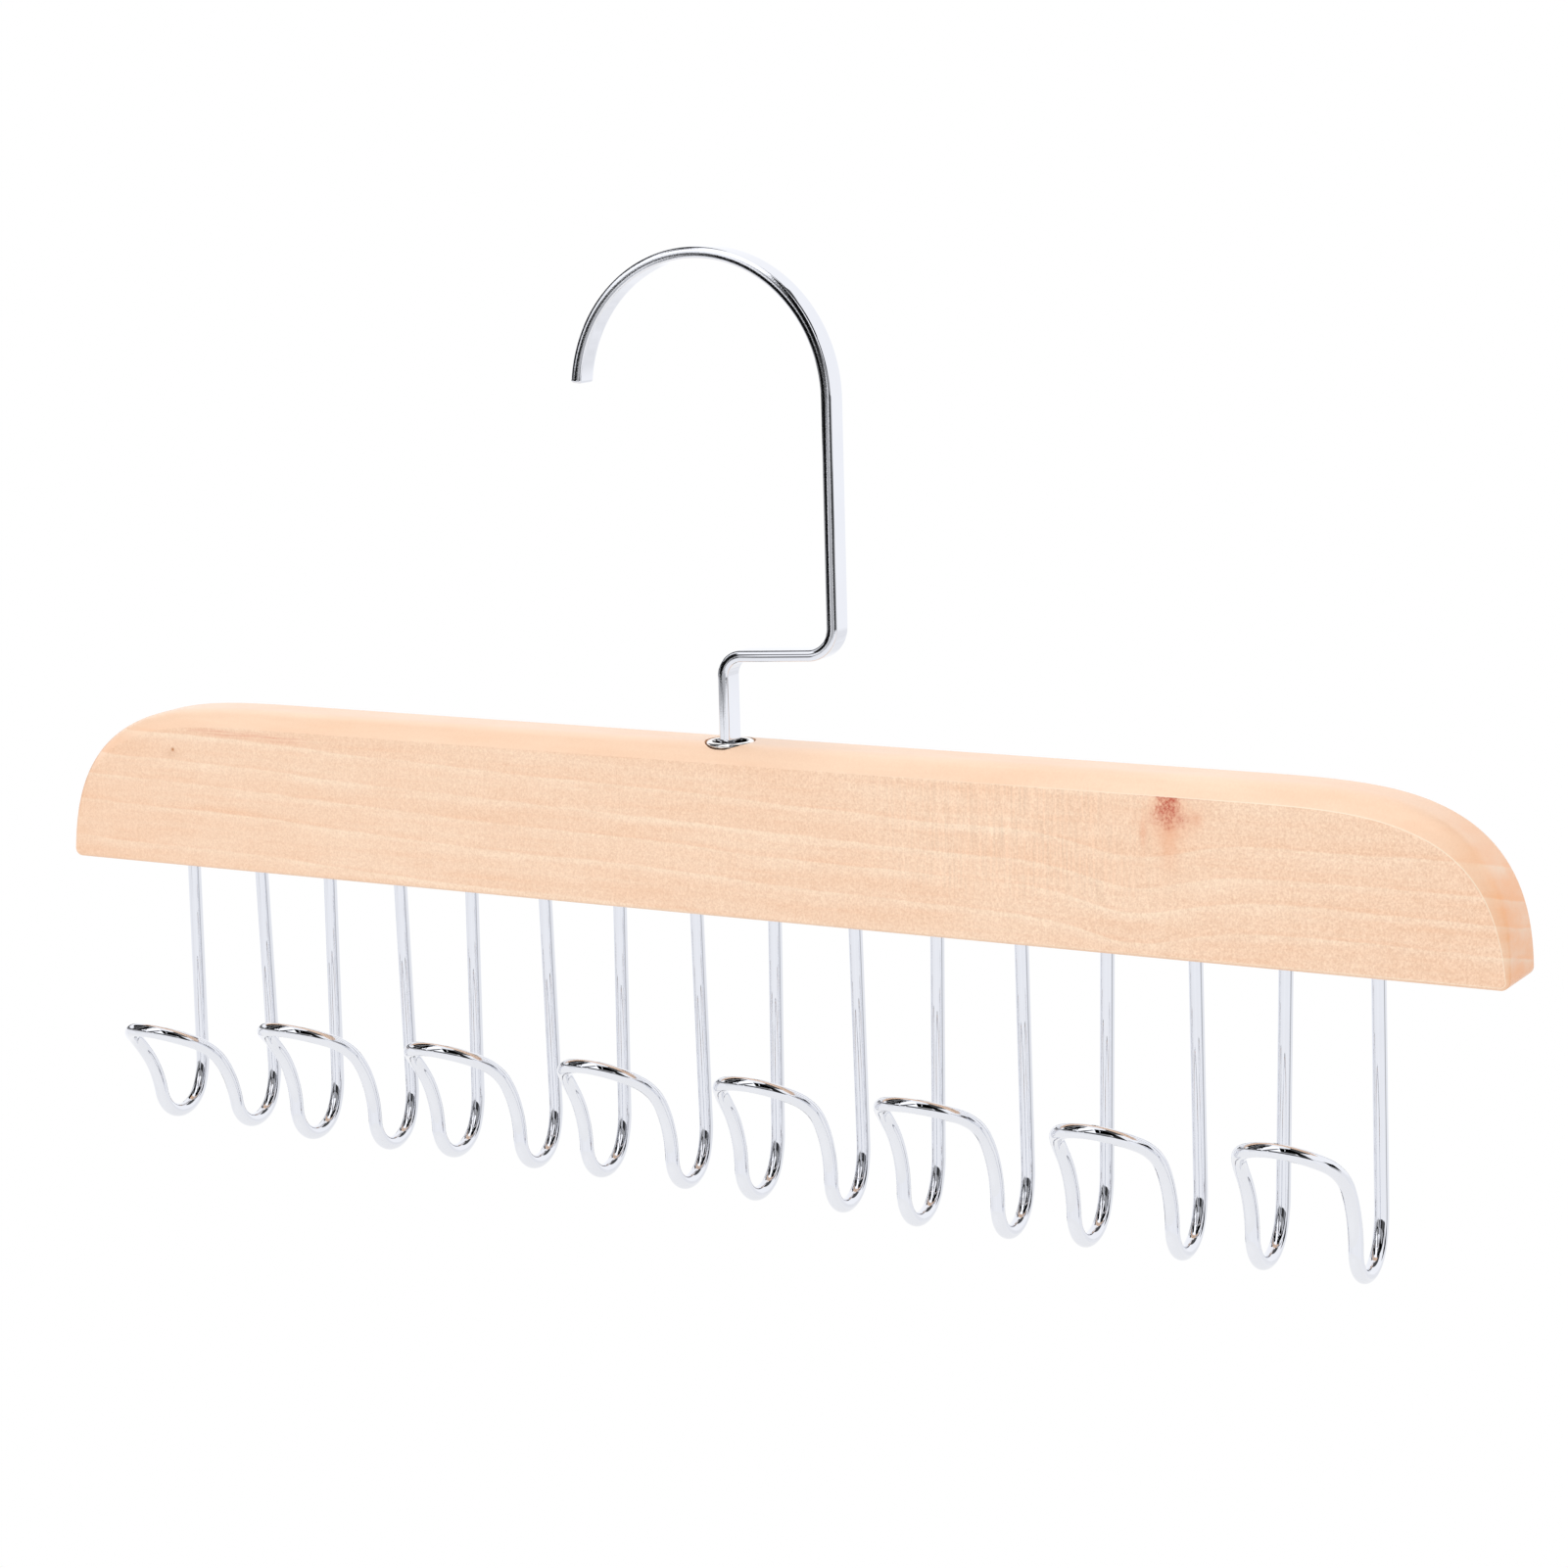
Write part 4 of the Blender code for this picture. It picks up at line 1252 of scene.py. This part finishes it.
def make_tent(stage):
    """The light tent: pale cloth with seams and folds, a white softbox in front and dark panels beside it.

    Only mirrored rays see it, so it shapes the metal's reflections and lights nothing. Its pattern is in
    degrees: azimuth from the front towards +X, and elevation above the rod seat.
    """
    material, sheet, (x, y, z) = bare_material("tent_cloth")
    azimuth = sheet.math("ARCTAN2", x, -y).degrees()
    elevation = sheet.math("ARCTAN2", z, away(x, y)).degrees()
    turn = sheet.math("FRACT", (azimuth + 540.0) / 360.0)
    cloth = sheet.ramp(turn, [((degrees + 180) / 360, level) for degrees, level in SEAMS])
    folds = sheet.join(azimuth, elevation * 0.08, 0.0).noise((0.16, 0.16, 0.16), 3.0, 0.6)
    above_floor = elevation.ease(-20.0, -13.0)
    level = sheet.lerp(above_floor, cloth + folds * 0.30, 1.06) * stage.tent_level
    for first, last, low, high, lean, brightness in tent_panels(stage):
        along = azimuth - (elevation - low) * lean
        panel = along.between(first, last, 0.8) * elevation.between(low, high, 0.6)
        level = sheet.lerp(panel, level, brightness)
    glow = sheet.add("ShaderNodeEmission", {"Color": stage.tent_color, "Strength": level})
    sheet.node("ShaderNodeOutputMaterial", {"Surface": glow})
    material.cycles.emission_sampling = "NONE"

    rings = ((stage.tent_radius, stage.floor_height), (stage.tent_radius, stage.tent_height))
    shape = turned(rings, 128, Vector(), False)
    foot = [face for face in shape.faces if face.calc_center_median().z < stage.floor_height + MM]
    bmesh.ops.delete(shape, geom=foot, context="FACES")
    tent = stage_mesh("light_tent", shape, material)
    for sight in ("camera", "diffuse", "transmission", "volume_scatter", "shadow"):
        setattr(tent, f"visible_{sight}", False)


def add_lamp(name, place, aim, size, power):
    """A large soft lamp that faces a point; the metal mirrors the tent instead of it."""
    data = bpy.data.lights.new(name, "AREA")
    data.shape = "SQUARE"
    data.size = size
    data.energy = power
    lamp = new_object(name, data)
    lamp.location = place
    lamp.rotation_mode = "QUATERNION"
    lamp.rotation_quaternion = (aim - Vector(place)).to_track_quat("-Z", "Y")
    lamp.visible_glossy = False


class HANGER_OT_stage(bpy.types.Operator):
    """Makes the camera, the light, the floor and the light tent"""

    bl_idname = "hanger.stage"
    bl_label = "Stage"

    def execute(self, context):
        stage = context.scene.hanger_stage
        context.scene.view_settings.view_transform = "Standard"
        make_camera(stage)
        make_world(stage)
        make_floor(stage)
        make_tent(stage)
        hanger_middle = Vector((0.0, 0.0, -0.12))
        add_lamp("key_lamp", (-1.0, -1.9, 0.9), hanger_middle, 1.4, stage.key_power)
        add_lamp("top_lamp", (0.1, -0.2, 1.7), hanger_middle, 1.6, stage.top_power)
        return {"FINISHED"}


class HANGER_PT_sidebar(bpy.types.Panel):
    """Lists the hanger's pieces and their sizes"""

    bl_idname = "HANGER_PT_sidebar"
    bl_label = "Belt hanger"
    bl_space_type = "VIEW_3D"
    bl_region_type = "UI"
    bl_category = "Belt hanger"

    def draw(self, context):
        for operator, groups in STEPS.items():
            box = self.layout.box()
            box.operator(operator.bl_idname)
            for group in groups:
                settings = getattr(context.scene, group)
                for name in settings.bl_rna.properties.keys():
                    if name not in ("rna_type", "name"):
                        box.prop(settings, name)


GROUPS = {
    "hanger_bar": BarSizes,
    "hanger_wood": WoodLook,
    "hanger_flat_hook": FlatHookSizes,
    "hanger_eyelet": EyeletSizes,
    "hanger_wires": WireSizes,
    "hanger_metal": MetalLook,
    "hanger_stage": StageLook,
}
STEPS = {
    HANGER_OT_stage: ("hanger_stage",),
    HANGER_OT_wooden_bar: ("hanger_bar", "hanger_wood"),
    HANGER_OT_flat_hook: ("hanger_flat_hook", "hanger_metal"),
    HANGER_OT_eyelet: ("hanger_eyelet",),
    HANGER_OT_washer: (),
    HANGER_OT_wire_hooks: ("hanger_wires",),
}
CLASSES = (*GROUPS.values(), *STEPS, HANGER_PT_sidebar)


def register():
    for cls in CLASSES:
        bpy.utils.register_class(cls)
    for name, group in GROUPS.items():
        setattr(bpy.types.Scene, name, PointerProperty(type=group))


def unregister():
    for name in GROUPS:
        delattr(bpy.types.Scene, name)
    for cls in reversed(CLASSES):
        bpy.utils.unregister_class(cls)


def main():
    register()
    bpy.ops.hanger.stage()
    bpy.ops.hanger.wooden_bar()
    bpy.ops.hanger.flat_hook()
    bpy.ops.hanger.eyelet()
    bpy.ops.hanger.washer()
    bpy.ops.hanger.wire_hooks()


if __name__ == "__main__":
    main()
